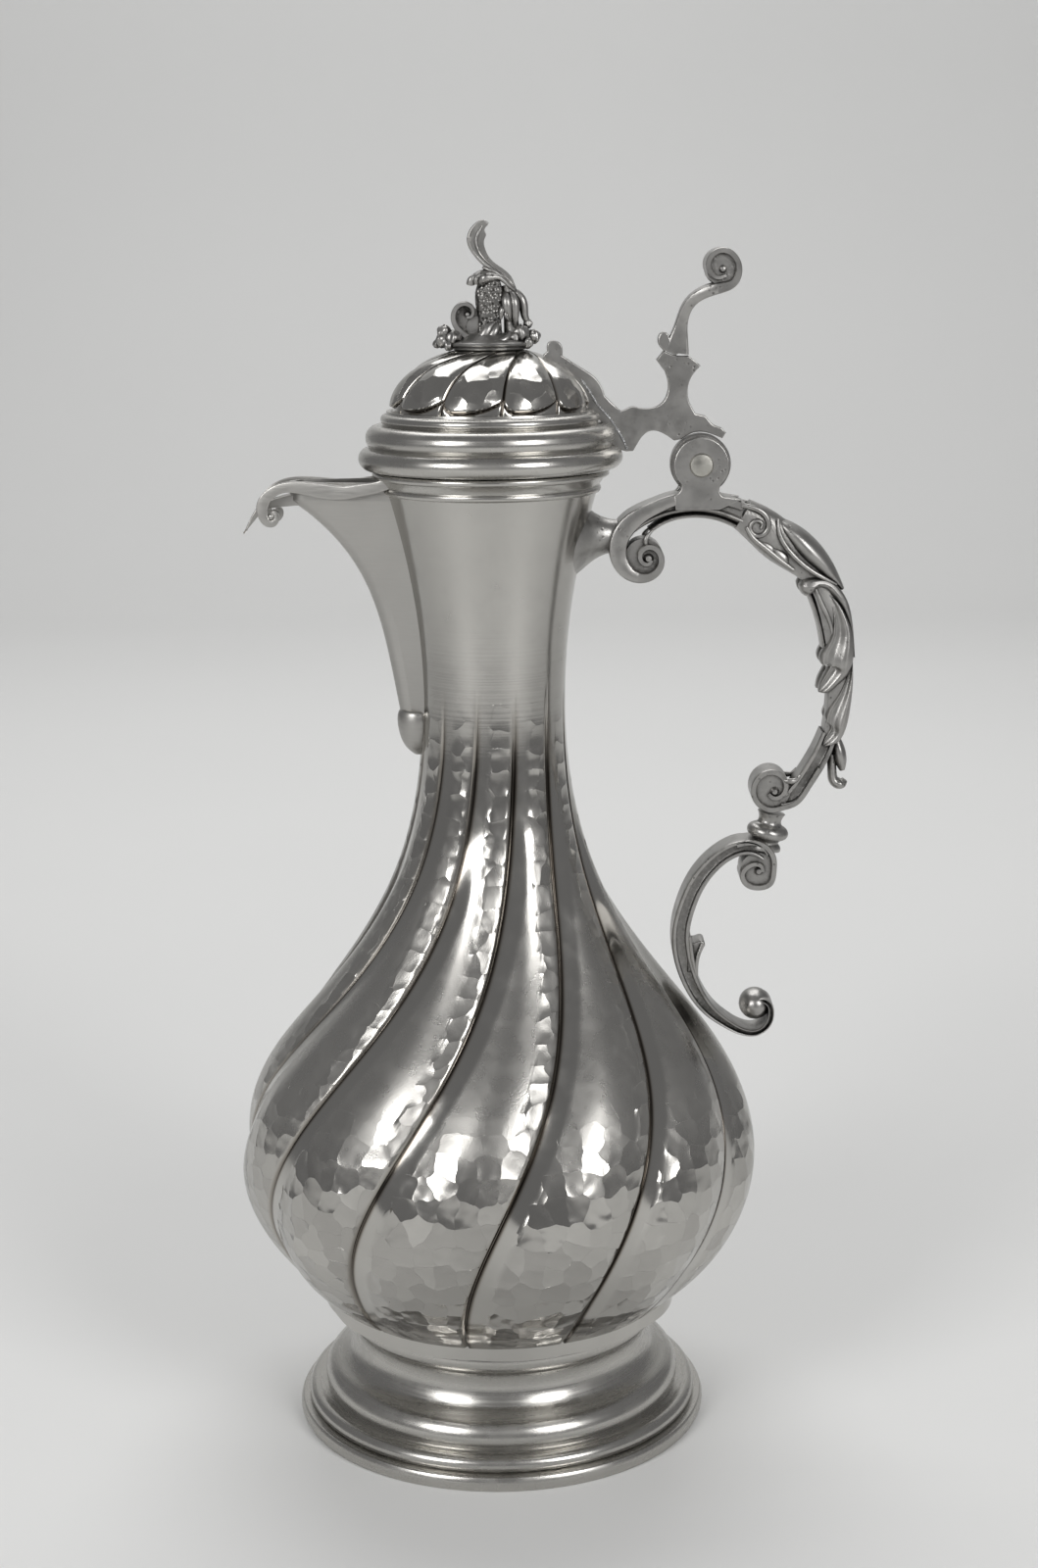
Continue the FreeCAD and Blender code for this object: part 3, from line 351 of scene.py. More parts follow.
class Nodes:
    """The nodes of one material, with its shader ready for metal."""

    def __init__(self, name):
        self.material = bpy.data.materials.new(name)
        self.material.use_nodes = True
        self.tree = self.material.node_tree
        self.shader = self.tree.nodes["Principled BSDF"]
        self.shader.inputs["Metallic"].default_value = 1.0

    def add(self, kind, inputs, **settings):
        node = self.tree.nodes.new(f"ShaderNode{kind}")
        for key, value in settings.items():
            setattr(node, key, value)
        for key, value in inputs.items():
            self.set(node.inputs[key], value)
        return node

    def set(self, socket, value):
        if isinstance(value, bpy.types.NodeSocket):
            self.tree.links.new(value, socket)
        else:
            socket.default_value = value

    def math(self, operation, first, second):
        return self.add("Math", {0: first, 1: second}, operation=operation).outputs[0]

    def times(self, first, second):
        return self.math("MULTIPLY", first, second)

    def vector(self, operation, first, second):
        return self.add("VectorMath", {0: first, 1: second}, operation=operation).outputs

    def total(self, *values):
        result = values[0]
        for value in values[1:]:
            result = self.math("ADD", result, value)
        return result

    def stretch(self, value, low, high, to_low=0.0, to_high=1.0):
        inputs = {"Value": value, "From Min": low, "From Max": high, "To Min": to_low, "To Max": to_high}
        return self.add("MapRange", inputs).outputs["Result"]

    def mix(self, share, first, second):
        return self.add("Mix", {0: share, 6: first, 7: second}, data_type="RGBA").outputs[2]

    def stored(self, name):
        return self.add("Attribute", {}, attribute_name=name).outputs["Fac"]

    def place(self):
        return self.add("TexCoord", {}).outputs["Object"]

    def noise(self, scale, detail, where=None):
        inputs = {"Vector": where or self.place(), "Scale": scale, "Detail": detail}
        return self.add("TexNoise", inputs).outputs["Fac"]

    def rings(self, scale):
        """Fine lines round the jug's axis, as a lathe leaves them."""
        place = self.place()
        parts = self.add("SeparateXYZ", {0: place}).outputs
        flat = self.add("CombineXYZ", {0: parts["X"], 1: parts["Y"]}).outputs[0]
        radius = self.add("VectorMath", {0: flat}, operation="LENGTH").outputs["Value"]
        drift = self.times(self.noise(9.0, 1.0), 0.0015)
        where = self.add("CombineXYZ", {0: radius, 1: parts["Z"], 2: drift}).outputs[0]
        return self.noise(scale, 2.0, where)

    def finish(self, color, roughness, height=None):
        """Sets the shader from a colour, a roughness and a height in millimetres."""
        self.set(self.shader.inputs["Base Color"], color)
        self.set(self.shader.inputs["Roughness"], roughness)
        if height is not None:
            bump = self.add("Bump", {"Height": height, "Distance": MM})
            self.set(self.shader.inputs["Normal"], bump.outputs["Normal"])
        return self.material


def worn_and_shaded_color(nodes, base, dark_share):
    """Metal colour with large soft patches, tinted brown and darkened where dark_share says: painted shade
    where the share follows hollows and grooves, and tarnish where it follows noise.
    """
    patches = nodes.stretch(nodes.noise(38.0, 4.0), 0.35, 0.7, 0.0, 0.35)
    pale = nodes.mix(patches, base, tuple(0.8 * value for value in base[:3]) + (1,))
    brown = nodes.mix(nodes.times(dark_share, 0.6), pale, BROWN)
    return nodes.mix(nodes.times(dark_share, dark_share), brown, TARNISH_AND_SHADE)


# Width of a hammer mark, how far its edges stray, and its depth and lean
FACET = 6.2
FACET_SWAY = 2.4
FACET_RANDOMNESS = 0.62
FACET_DISH = 0.75
FACET_LEAN = 0.12
FACET_GREY = (0.3, 0.29, 0.275, 1)
MIDDLE = (0.5, 0.5, 0.5)
NECK_BRUSHING = 0.65
QUARTER_TURN = 0.25


def hammer_marks(nodes):
    """Height of the planished facets, and how dull each of them is."""
    where = nodes.add("UVMap", {}, uv_map="facets").outputs["UV"]
    sway = nodes.add("TexNoise", {"Vector": where, "Scale": 260.0, "Detail": 0.0}).outputs["Color"]
    sway = nodes.vector("SUBTRACT", sway, MIDDLE)["Vector"]
    sway = nodes.add("VectorMath", {0: sway, "Scale": FACET_SWAY * MM}, operation="SCALE").outputs["Vector"]
    where = nodes.vector("ADD", where, sway)["Vector"]
    inputs = {"Vector": where, "Scale": 1 / (FACET * MM), "Randomness": FACET_RANDOMNESS}
    cells = nodes.add("TexVoronoi", inputs, voronoi_dimensions="2D").outputs
    away = nodes.vector("SUBTRACT", where, cells["Position"])["Vector"]
    lean = nodes.vector("SUBTRACT", cells["Color"], MIDDLE)["Vector"]
    tilt = nodes.times(nodes.vector("DOT_PRODUCT", away, lean)["Value"], FACET_LEAN / MM)
    dish = nodes.times(nodes.times(cells["Distance"], cells["Distance"]), FACET_DISH)
    struck = nodes.stored("facet")
    dull = nodes.add("SeparateColor", {0: cells["Color"]}).outputs["Blue"]
    return nodes.times(nodes.total(dish, tilt), struck), nodes.times(dull, struck)


def hammered_pewter():
    """Raised pewter with planished facets, satin between them and a brushed neck."""
    nodes = Nodes("hammered_pewter")
    facets, dull = hammer_marks(nodes)
    satin = nodes.stored("satin")
    neck = nodes.stored("neck")
    grain = nodes.times(nodes.noise(2600.0, 2.0), nodes.times(satin, 0.03))
    lines = nodes.times(nodes.rings(1500.0), nodes.times(neck, 0.03))
    waves = nodes.times(nodes.noise(70.0, 2.0), 0.12)
    scuffs = nodes.stretch(nodes.noise(160.0, 6.0), 0.45, 0.75, 0.0, 0.08)
    soft = nodes.total(nodes.times(satin, 0.16), nodes.times(neck, 0.1))
    roughness = nodes.total(soft, scuffs, nodes.times(dull, 0.1), 0.11)
    nodes.set(nodes.shader.inputs["Anisotropic"], nodes.times(neck, NECK_BRUSHING))
    nodes.shader.inputs["Anisotropic Rotation"].default_value = QUARTER_TURN
    tangent = nodes.add("Tangent", {}, direction_type="RADIAL", axis="Z")
    nodes.set(nodes.shader.inputs["Tangent"], tangent.outputs["Tangent"])
    # Colour darkened along the body's grooves and the dome's seams: painted shade with a brown tarnish tint
    color = worn_and_shaded_color(nodes, PEWTER, nodes.stored("groove"))
    color = nodes.mix(nodes.times(dull, 0.45), color, FACET_GREY)
    return nodes.finish(color, roughness, nodes.total(facets, grain, lines, waves))


def spun_pewter():
    """Turned pewter with fine lathe lines, and painted shade with a brown tarnish tint in the mouldings."""
    nodes = Nodes("spun_pewter")
    lines = nodes.rings(1300.0)
    scuffs = nodes.stretch(nodes.noise(120.0, 6.0), 0.45, 0.75, 0.0, 0.1)
    # Hollows darkened in colour: painted shade, broken up by noise
    dark = nodes.stretch(nodes.stored("hollow"), 0.05, 0.4)
    dark = nodes.times(dark, nodes.stretch(nodes.noise(90.0, 4.0), 0.3, 0.6, 0.4, 1.0))
    roughness = nodes.total(nodes.stretch(lines, 0.3, 0.7, 0.2, 0.3), scuffs)
    return nodes.finish(worn_and_shaded_color(nodes, PEWTER, dark), roughness, nodes.times(lines, 0.012))


def sheet_pewter():
    """Brushed sheet of the spout, its scratches level."""
    nodes = Nodes("sheet_pewter")
    parts = nodes.add("SeparateXYZ", {0: nodes.place()}).outputs
    level = nodes.times(parts["Z"], 14.0)
    where = nodes.add("CombineXYZ", {0: parts["X"], 1: parts["Y"], 2: level}).outputs[0]
    brush = nodes.noise(170.0, 3.0, where)
    scuffs = nodes.stretch(nodes.noise(150.0, 5.0), 0.45, 0.75, 0.0, 0.1)
    # Hollows darkened in colour: painted shade with a brown tarnish tint
    dark = nodes.stretch(nodes.stored("hollow"), 0.03, 0.3)
    roughness = nodes.total(nodes.stretch(brush, 0.3, 0.7, 0.3, 0.44), scuffs)
    return nodes.finish(worn_and_shaded_color(nodes, SHEET_PEWTER, dark), roughness, nodes.times(brush, 0.03))


def cast_pewter():
    """Cast pewter, pale on its edges, with painted shade in its hollows from ambient occlusion, and fine
    pits.
    """
    nodes = Nodes("cast_pewter")
    pits = nodes.add("TexVoronoi", {"Vector": nodes.place(), "Scale": 620.0}).outputs["Distance"]
    some = nodes.stretch(nodes.noise(110.0, 4.0), 0.5, 0.62)
    pits = nodes.times(nodes.stretch(pits, 0.12, 0.3, 1.0, 0.0), some)
    skin = nodes.noise(1100.0, 4.0)
    waves = nodes.noise(150.0, 2.0)
    reach = {"Distance": SHADE_REACH * MM}
    shade = nodes.add("AmbientOcclusion", reach, samples=8, only_local=True).outputs["AO"]
    # Ambient occlusion darkens the colour in the hollows: painted shade
    deep = nodes.stretch(shade, 0.42, 0.93, 1.0, 0.0)
    deep = nodes.times(deep, nodes.stretch(skin, 0.3, 0.6, 0.65, 1.0))
    dark = nodes.math("MAXIMUM", deep, nodes.times(pits, 0.7))
    dark = nodes.math("MAXIMUM", dark, nodes.stretch(nodes.noise(260.0, 6.0), 0.5, 0.8, 0.0, 0.4))
    worn = nodes.stretch(nodes.noise(140.0, 5.0), 0.3, 0.7, 0.3, 0.44)
    roughness = nodes.total(worn, nodes.times(deep, 0.12))
    stipple = nodes.times(nodes.times(deep, skin), 0.25)
    height = nodes.total(nodes.times(pits, -0.06), nodes.times(skin, 0.04), stipple)
    height = nodes.total(height, nodes.times(waves, 0.16))
    return nodes.finish(nodes.mix(dark, CAST_PEWTER, CAST_SHADE), roughness, height)


def stippled_pewter():
    """Rough punched ground inside the finial."""
    nodes = Nodes("stippled_pewter")
    punches = nodes.add("TexVoronoi", {"Vector": nodes.place(), "Scale": 900.0}).outputs["Distance"]
    dark = nodes.stretch(punches, 0.1, 0.6, 0.95, 0.45)
    height = nodes.times(nodes.stretch(punches, 0.0, 0.6), 0.35)
    color = nodes.mix(dark, CAST_PEWTER, CAST_SHADE)
    return nodes.finish(color, nodes.stretch(punches, 0.0, 0.5, 0.5, 0.34), height)


def solder_metal():
    """Whitish, lumpy solder."""
    nodes = Nodes("solder")
    lumps = nodes.noise(420.0, 5.0)
    dark = nodes.stretch(lumps, 0.55, 0.75, 0.0, 0.5)
    return nodes.finish(worn_and_shaded_color(nodes, SOLDER, dark), nodes.stretch(lumps, 0.3, 0.7, 0.3, 0.5), lumps)


def pin_metal():
    """Worn rivet, paler than the casting round it."""
    nodes = Nodes("pin_metal")
    marks = nodes.noise(500.0, 4.0)
    dark = nodes.stretch(nodes.noise(260.0, 4.0), 0.5, 0.75, 0.05, 0.45)
    rough = nodes.stretch(marks, 0.3, 0.7, 0.3, 0.48)
    return nodes.finish(worn_and_shaded_color(nodes, PIN_METAL, dark), rough, nodes.times(marks, 0.05))


HAMMERED = hammered_pewter()
SPUN = spun_pewter()
SHEET = sheet_pewter()
CAST = cast_pewter()
STIPPLED = stippled_pewter()
SOLDERED = solder_metal()
PIN = pin_metal()

# Body

LOBES = 12
LOBE_COLUMNS = 40
LOBE_CROWDING = 0.7
LOBE_DEPTH = 2.8
LOBE_RISE = 24.0
LOBE_TWIST = 58.0
LOBE_PHASE = -99.6
BELLY_HEIGHT = 78.0
NECK_HEIGHT = 212.0
SHEET_WALL = 1.8
# Radius and height of the body's outside, as in the CAD part
BODY_LINE = [
    (44.4, FOOT_TOP),
    (65.8, 54.0),
    (74.1, BELLY_HEIGHT),
    (67.7, 102.0),
    (48.9, 128.0),
    (28.8, 160.0),
    (20.0, NECK_HEIGHT),
    (24.6, MOUTH - 22.8),
    (30.6, MOUTH),
]
SKIN = 0.07
# Chased line beside each groove
CHASED_DEPTH = 0.6
CHASED_AT = 0.5
CHASED_WIDTH = 0.5
# Smooth band on one side of a groove and row of hammer marks on the other
BAND_WIDTH = 4.4
CHAIN_WIDTH = 6.0
FADE = 2.0
# Reach of the painted shade, tinted brown as tarnish, on the two sides of a groove, and of the plain strip
# along it
GROOVE_SHADE_AFTER, GROOVE_SHADE_BEFORE = 1.2, 0.8
PLAIN_STRIP = 1.2
# Distance between the outside and the inside, in walls: the wall leans
LEANING_WALL = 1.15
# Height where each finish starts or ends, and how far it takes to do so
CHASED_FOOT = (FOOT_TOP, 6.0)
CHASED_TOP = (190.0, 28.0)
FACETS_TOP = (88.0, 24.0)
CHAIN_TOP = (185.0, 30.0)
SATIN_FOOT = (84.0, 20.0)
SATIN_TOP = (150.0, 40.0)
BRUSHED_FOOT = (190.0, 30.0)


def body_line(count):
    """Points on the body's outside, a hair inside the CAD part."""
    return smooth_line(BODY_LINE, count) - [SKIN, 0]


def body_radius(height):
    line = body_line(400)
    return np.interp(height, line[:, 1], line[:, 0])


def lobe_turn(height):
    return LOBE_PHASE + LOBE_TWIST * ease((height - FOOT_TOP) / (NECK_HEIGHT - FOOT_TOP))


def lobe_depth(height):
    rise = ease((height - FOOT_TOP) / LOBE_RISE)
    fall = 1 - ease((height - BELLY_HEIGHT) / (NECK_HEIGHT - BELLY_HEIGHT))
    return LOBE_DEPTH * rise * fall


def lobe_steps(count, columns):
    """Places across all lobes, closer together near the grooves, and the share across each lobe."""
    even = np.arange(columns) / columns
    share = even - LOBE_CROWDING * np.sin(2 * math.pi * even) / (2 * math.pi)
    places = (np.arange(count)[:, None] + share[None, :]).ravel()
    return places, np.tile(share, count)


def lobe_width(radius, lobes):
    return 2 * math.pi * radius / lobes


def lobe_angles(turn, places, lobes):
    return turn[:, None] + places[None, :] * 2 * math.pi / lobes


def lobed_rings(distance, angles, level):
    """Rings of points round the jug's axis."""
    level = np.broadcast_to(level[:, None], angles.shape)
    return np.stack([distance * np.cos(angles), distance * np.sin(angles), level], axis=-1)


def facet_places(share, lobes, radius, height, turn):
    """Flat places of the hammer marks for each corner of the faces over lobed rows, in metres."""
    width = lobe_width(radius, lobes)
    length = running_total(np.hypot(np.diff(radius), np.diff(height)))
    shift = running_total(np.diff(turn) * (radius[1:] + radius[:-1]) / 2)
    after = np.roll(share, -1)
    right = np.where(after == 0.0, 1.0, after)
    lobe = np.repeat(np.arange(lobes), len(share) // lobes) * 2 * width.max()
    lower, upper = slice(None, -1), slice(1, None)
    corners = []
    for row, side in ((lower, share), (lower, right), (upper, right), (upper, share)):
        across = (side[None, :] - 0.5) * width[row, None] + shift[row, None] + lobe[None, :]
        up = np.broadcast_to(length[row, None], across.shape)
        corners.append(np.stack([across, up], axis=-1))
    return np.stack(corners, axis=2) * MM


def lobed_mesh(name, rows, facets, stored, closed=False):
    """Mesh over rings whose first rows carry hammer marks and stored values per corner."""
    corners, faces = grid_parts(rows, closed)
    mesh = bpy.data.meshes.new(name)
    mesh.from_pydata(corners.tolist(), [], faces)
    flat = np.zeros((len(mesh.loops), 2))
    places = facets.reshape(-1, 2)
    flat[:len(places)] = places
    mesh.uv_layers.new(name="facets").data.foreach_set("uv", flat.ravel().astype(np.float32))
    for key, values in stored.items():
        whole = np.zeros(len(corners), np.float32)
        whole[:values.size] = values.ravel()
        mesh.attributes.new(key, "FLOAT", "POINT").data.foreach_set("value", whole)
    return finished(mesh)


def make_body():
    radius, height = body_line(260).T
    places, share = lobe_steps(LOBES, LOBE_COLUMNS)
    turn = np.radians(lobe_turn(height))
    angles = lobe_angles(turn, places, LOBES)
    width = lobe_width(radius, LOBES)
    before, after = share[None, :] * width[:, None], (1 - share)[None, :] * width[:, None]
    valley = np.where(share < 0.5, 0.5 + 0.5 * np.cos(2 * math.pi * share), (2 * share - 1) ** 2)
    lobes = radius[:, None] - lobe_depth(height)[:, None] * valley[None, :]

    def above(start, rise):
        return ease((height - start) / rise)[:, None]

    chased = above(*CHASED_FOOT) * (1 - above(*CHASED_TOP))
    cut = CHASED_DEPTH * chased * np.exp(-(((after - CHASED_AT) / CHASED_WIDTH) ** 2))
    outside = lobed_rings(lobes - cut, angles, height)
    # Every fourth ring, from the mouth down to just over the floor
    inner = slice(None, 10, -4)
    inside = lobed_rings(lobes[inner] - LEANING_WALL * SHEET_WALL, angles[inner], height[inner])
    floor = inside[-1:] * [1, 1, 0] + [0, 0, FOOT_TOP + SHEET_WALL]
    middle = floor * [0.001, 0.001, 1]
    rows = np.concatenate([outside, inside, floor, middle])
    off_band = ease((before - BAND_WIDTH) / FADE)
    low = (1 - above(*FACETS_TOP)) * off_band
    chain = (1 - ease((after - CHAIN_WIDTH) / FADE)) * (1 - above(*CHAIN_TOP))
    edges = np.maximum(np.exp(-((after / GROOVE_SHADE_AFTER) ** 2)), np.exp(-((before / GROOVE_SHADE_BEFORE) ** 2)))
    stored = {
        "facet": np.maximum(low, chain) * ease((after - PLAIN_STRIP) / PLAIN_STRIP),
        # Darkens the colour on both sides of each groove: painted shade with a brown tarnish tint
        "groove": chased * edges,
        "satin": above(*SATIN_FOOT) * (1 - above(*SATIN_TOP)) * off_band,
        "neck": np.broadcast_to(above(*BRUSHED_FOOT), before.shape),
    }
    mesh = lobed_mesh("body", rows, facet_places(share, LOBES, radius, height, turn), stored)
    add_piece("body", mesh, "jug", ["body_shell"], HAMMERED)


# Foot, collar and lid ring


def rounded(points, cut=0.25):
    """Closed outline with its sharp corners eased."""
    points = [np.array(point, float) for point in points]
    result = []
    for number, point in enumerate(points):
        before = points[number - 1] - point
        after = points[(number + 1) % len(points)] - point
        lengths = np.linalg.norm(before), np.linalg.norm(after)
        bend = before @ after / (lengths[0] * lengths[1])
        if bend < -0.92:
            result.append(point)
            continue
        first = point + before * min(cut / lengths[0], 0.4)
        last = point + after * min(cut / lengths[1], 0.4)
        result += [first, 0.25 * first + 0.5 * point + 0.25 * last, last]
    return result


def add_turned(name, profile, body):
    mesh = add_hollows(turned(name, rounded(profile)), rounds=6)
    add_piece(name, mesh, body, [name], SPUN)


def make_foot():
    shelf, torus_top = 8.3, 16.3
    profile = outline(
        (35.8, FOOT_TOP),
        [
            ((44.4, FOOT_TOP),),
            ((45.0, 30.2), (42.5, 27.2)),
            ((42.0, 22.4), (44.4, 17.7)),
            ((47.1, torus_top),),
            ((51.4, 11.5), (50.7, shelf)),
            ((53.2, shelf),),
            ((56.4, 5.8), (55.5, 4.2)),
            ((51.9, 4.2),),
            ((48.5, shelf),),
            ((41.2, torus_top),),
            ((39.4, 19.5),),
            ((39.4, FOOT_TOP - SHEET_WALL),),
            ((35.8, FOOT_TOP - SHEET_WALL),),
        ],
    )
    add_turned("foot", profile, "jug")
    rim = outline((50.9, 0.0), [((58.2, 0.0),), ((58.9, 2.1), (58.2, 4.2)), ((50.9, 4.2),)])
    add_turned("foot_rim", rim, "jug")


def make_collar():
    top = MOUTH - 0.05
    profile = outline(
        (28.0, top - 6.4),
        [
            ((29.3, top - 6.1),),
            ((30.0, top - 5.3), (29.7, top - 4.4)),
            ((29.5, top - 4.2),),
            ((31.0, top - 2.1),),
            ((31.3, top - 1.9),),
            ((32.3, top - 1.0), (31.6, top)),
            ((29.6, top),),
        ],
    )
    add_turned("mouth_collar", profile, "jug")


def make_lid_ring():
    bezel_inside = node_box("lid_bezel")[1][1] - 1.5
    waist, step = LID_FLOOR + 6.1, LID_FLOOR + 12.1
    profile = outline(
        (bezel_inside, LID_FLOOR),
        [
            ((33.2, LID_FLOOR),),
            ((35.95, LID_FLOOR + 3.0), (33.6, waist - 0.2)),
            ((32.9, waist),),
            ((33.2, waist + 0.3),),
            ((33.9, waist + 2.8), (31.2, step - 0.2)),
            ((29.4, step),),
            ((29.1, step + 0.2),),
            ((29.7, step + 1.4), (28.7, step + 2.7)),
            ((28.1, step + 3.0),),
            ((28.1, DOME_FOOT),),
            ((26.1, DOME_FOOT),),
            ((26.1, step),),
            ((28.8, step - 1.5),),
            ((31.0, waist),),
            ((31.7, LID_FLOOR + 2.2),),
            ((bezel_inside, LID_FLOOR + 2.2),),
        ],
    )
    add_turned("lid_ring", profile, "lid")


# Dome of the lid: petals that swirl up to the finial

DOME_LOBES = 10
DOME_COLUMNS = 44
DOME_RADIUS = 27.4
DOME_TOP_RADIUS = 9.0
DOME_LEAN = 8.0
DOME_SWIRL = 40.0
DOME_PHASE = -83.0
PETAL_DEPTH = 1.3
PETAL_LINE = 0.5
PETAL_LOW = 0.4
# Share of the climb where the petals' tips start, and how much higher the tips' sides are
TIP_FOOT = 0.025
TIP_RISE = 0.15
TIP_STEEPNESS = (5, 2.2)
TIP_EDGE = 0.9
# Length up the dome's side as a share of its height, and depth of the ground between the tips
DOME_SLOPE = 1.3
GROUND_DEPTH = 0.8
SEAM_WIDTH = 0.4
# Share of the climb where the seams and the hammer marks end, and how far they take to do so
SEAM_TOP = (0.9, 0.1)
DOME_FACETS_TOP = (0.55, 0.2)
DOME_FACETS = 0.8
DOME_SATIN = 0.2


def make_dome():
    last = math.acos(DOME_TOP_RADIUS / DOME_RADIUS)
    climb = np.linspace(0, 1, 70)
    rise = DOME_TOP - DOME_FOOT
    radius = DOME_RADIUS * np.cos(last * climb)
    height = DOME_FOOT + rise * np.sin(last * climb) / math.sin(last)
    places, share = lobe_steps(DOME_LOBES, DOME_COLUMNS)
    turn = np.radians(DOME_PHASE + DOME_LEAN * climb + DOME_SWIRL * climb**4)
    angles = lobe_angles(turn, places, DOME_LOBES)
    width = lobe_width(radius, DOME_LOBES)
    side = np.abs(2 * share - 1)
    gap = np.minimum(share, 1 - share)[None, :] * width[:, None]
    left = (np.maximum(PETAL_LOW - share, 0) / PETAL_LOW) ** TIP_STEEPNESS[0]
    right = (np.maximum(share - PETAL_LOW, 0) / (1 - PETAL_LOW)) ** TIP_STEEPNESS[1]
    tip = TIP_FOOT + TIP_RISE * (left + right)
    above = (climb[:, None] - tip[None, :]) * rise * DOME_SLOPE
    petal = ease(above / TIP_EDGE)

    def below(end, fade):
        return (1 - ease((climb - end) / fade))[:, None]

    fall = PETAL_DEPTH * (side**2)[None, :] * np.sin(math.pi * np.clip(climb, 0.02, 0.98))[:, None] ** 0.5
    seam = np.exp(-((np.minimum(gap, np.abs(above)) / SEAM_WIDTH) ** 2))
    seam = seam * below(*SEAM_TOP)
    ground = (1 - petal) * PETAL_DEPTH * GROUND_DEPTH
    distance = radius[:, None] - np.maximum(fall, ground) - PETAL_LINE * seam
    outside = lobed_rings(distance, angles, height)
    top = outside[-1:] * [0.002, 0.002, 1]
    inner_height = np.maximum(height - SHEET_WALL, DOME_FOOT)
    inside = lobed_rings(radius[:, None] - 2 * SHEET_WALL, angles, inner_height)[::-6]
    roof = inside[:1] * [0.002, 0.002, 1]
    sill = inside[-1:] * [1, 1, 0] + [0, 0, DOME_FOOT]
    rows = np.concatenate([outside, top, roof, inside, sill])
    stored = {
        "facet": DOME_FACETS * ease((gap - 1) / 2) * ease(above / 3) * below(*DOME_FACETS_TOP),
        # The seams between the petals darken the colour: painted shade with a brown tarnish tint
        "groove": seam,
        "satin": np.full_like(gap, DOME_SATIN),
        "neck": np.zeros_like(gap),
    }
    facets = facet_places(share, DOME_LOBES, radius, height, turn)
    mesh = lobed_mesh("lid_dome", rows, facets, stored, closed=True)
    add_piece("lid_dome", mesh, "lid", ["lid_dome"], HAMMERED)


# Shapes for the castings


def spindle_parts(foot, lean, profile, segments=56):
    """Turned piece on an axis through foot that leans from +Z towards +X by an angle in degrees."""
    rows = ring_rows(profile, segments)
    turn = math.radians(lean)
    x = foot[0] + rows[..., 0] * math.cos(turn) + rows[..., 2] * math.sin(turn)
    z = foot[1] - rows[..., 0] * math.sin(turn) + rows[..., 2] * math.cos(turn)
    return grid_parts(np.stack([x, rows[..., 1], z], axis=-1))


def vine_parts(points, flat=1.0, count=40, segments=18):
    """Tapered stem through points (x, y, z, radius), its section squeezed across by flat."""
    points = np.asarray(points, float)
    gaps = np.linalg.norm(np.diff(points[:, :3], axis=0), axis=1)
    length = running_total(gaps)
    keyed = np.concatenate([length[:, None], np.zeros((len(points), 1)), points], axis=1)
    line = smooth_line(keyed, count)[:, 2:]
    along = np.gradient(line[:, :3], axis=0)
    along /= np.linalg.norm(along, axis=1)[:, None]
    side = np.cross(along, [0, 1, 0])
    side /= np.maximum(np.linalg.norm(side, axis=1), 1e-6)[:, None]
    up = np.cross(side, along)
    radius = np.maximum(line[:, 3], 0.12)[:, None, None]
    ring = circle_section(segments)
    offsets = side[:, None, :] * ring[None, :, :1] + flat * up[:, None, :] * ring[None, :, 1:]
    return grid_parts(line[:, None, :3] + radius * offsets)


def vine_pair(points, **settings):
    """The same stem in front and behind."""
    flipped = [(x, -y, z, radius) for x, y, z, radius in points]
    return [vine_parts(points, **settings), vine_parts(flipped, **settings)]


def moved(parts, y):
    corners, faces = parts
    return np.asarray(corners) + [0, y, 0], faces


def smooth_runs(runs, spacing=0.5):
    """One outline from runs of points: each run is smooth and the runs meet in corners."""
    points = []
    for run in runs:
        run = np.asarray(run, float)
        if len(run) < 3:
            points += run.tolist()
            continue
        size = np.linalg.norm(np.diff(run, axis=0), axis=1).sum()
        points += smooth_line(run, max(int(size / spacing), 4)).tolist()
    tidy = [points[0]]
    for point in points[1:]:
        if math.dist(point, tidy[-1]) > 0.15:
            tidy.append(point)
    return tidy


def two_sided(front):
    """Closed section that is the same on its front and back, from the front's points (across, out)."""
    half = [(front[0][0], 0.0)] + front + [(front[-1][0], 0.0)]
    return np.array(half + [(across, -out) for across, out in reversed(half[1:-1])])


LEAF_ROWS = 70
LEAF_COLUMNS = 25
LEAF_SINK = 2.0
DOMED = [(0, 0), (0.06, 0.42), (0.2, 0.75), (0.5, 1), (0.8, 0.75), (0.94, 0.42), (1, 0)]
CUPPED = [
    (0, 0.1), (0.05, 0.5), (0.12, 0.52), (0.22, 0.3), (0.42, 0.4), (0.66, 0.95), (0.8, 1), (0.95, 0.6),
    (1, 0.1),
]


def relief_parts(left, right, base, crown, side, profile):
    """Leaf between two edge lines in the XZ plane, raised from one side of the handle.

    The profile gives its height from the left edge to the right, as shares of the crown.
    """
    rows = []
    edges = zip(smooth_line(left, LEAF_ROWS), smooth_line(right, LEAF_ROWS))
    edges = [(np.array(a), np.array(b)) for a, b in edges]
    widest = max(np.linalg.norm(b - a) for a, b in edges)
    share = np.linspace(0, 1, LEAF_COLUMNS)
    height = np.interp(share, *np.array(profile).T)
    height = np.convolve(np.pad(height, 1, mode="edge"), [0.25, 0.5, 0.25], mode="valid")
    for a, b in edges:
        swell = crown * (np.linalg.norm(b - a) / widest) ** 0.6
        spots = a + share[:, None] * (b - a)
        out = base + swell * height
        front = np.column_stack([spots[:, 0], side * out, spots[:, 1]])
        back = np.array([(b[0], side * (base - LEAF_SINK), b[1]), (a[0], side * (base - LEAF_SINK), a[1])])
        rows.append(np.concatenate([front, back]))
    return grid_parts(rows)


def relief_pair(left, right, base, crown, profile):
    return [relief_parts(left, right, base, crown, side, profile) for side in (-1, 1)]


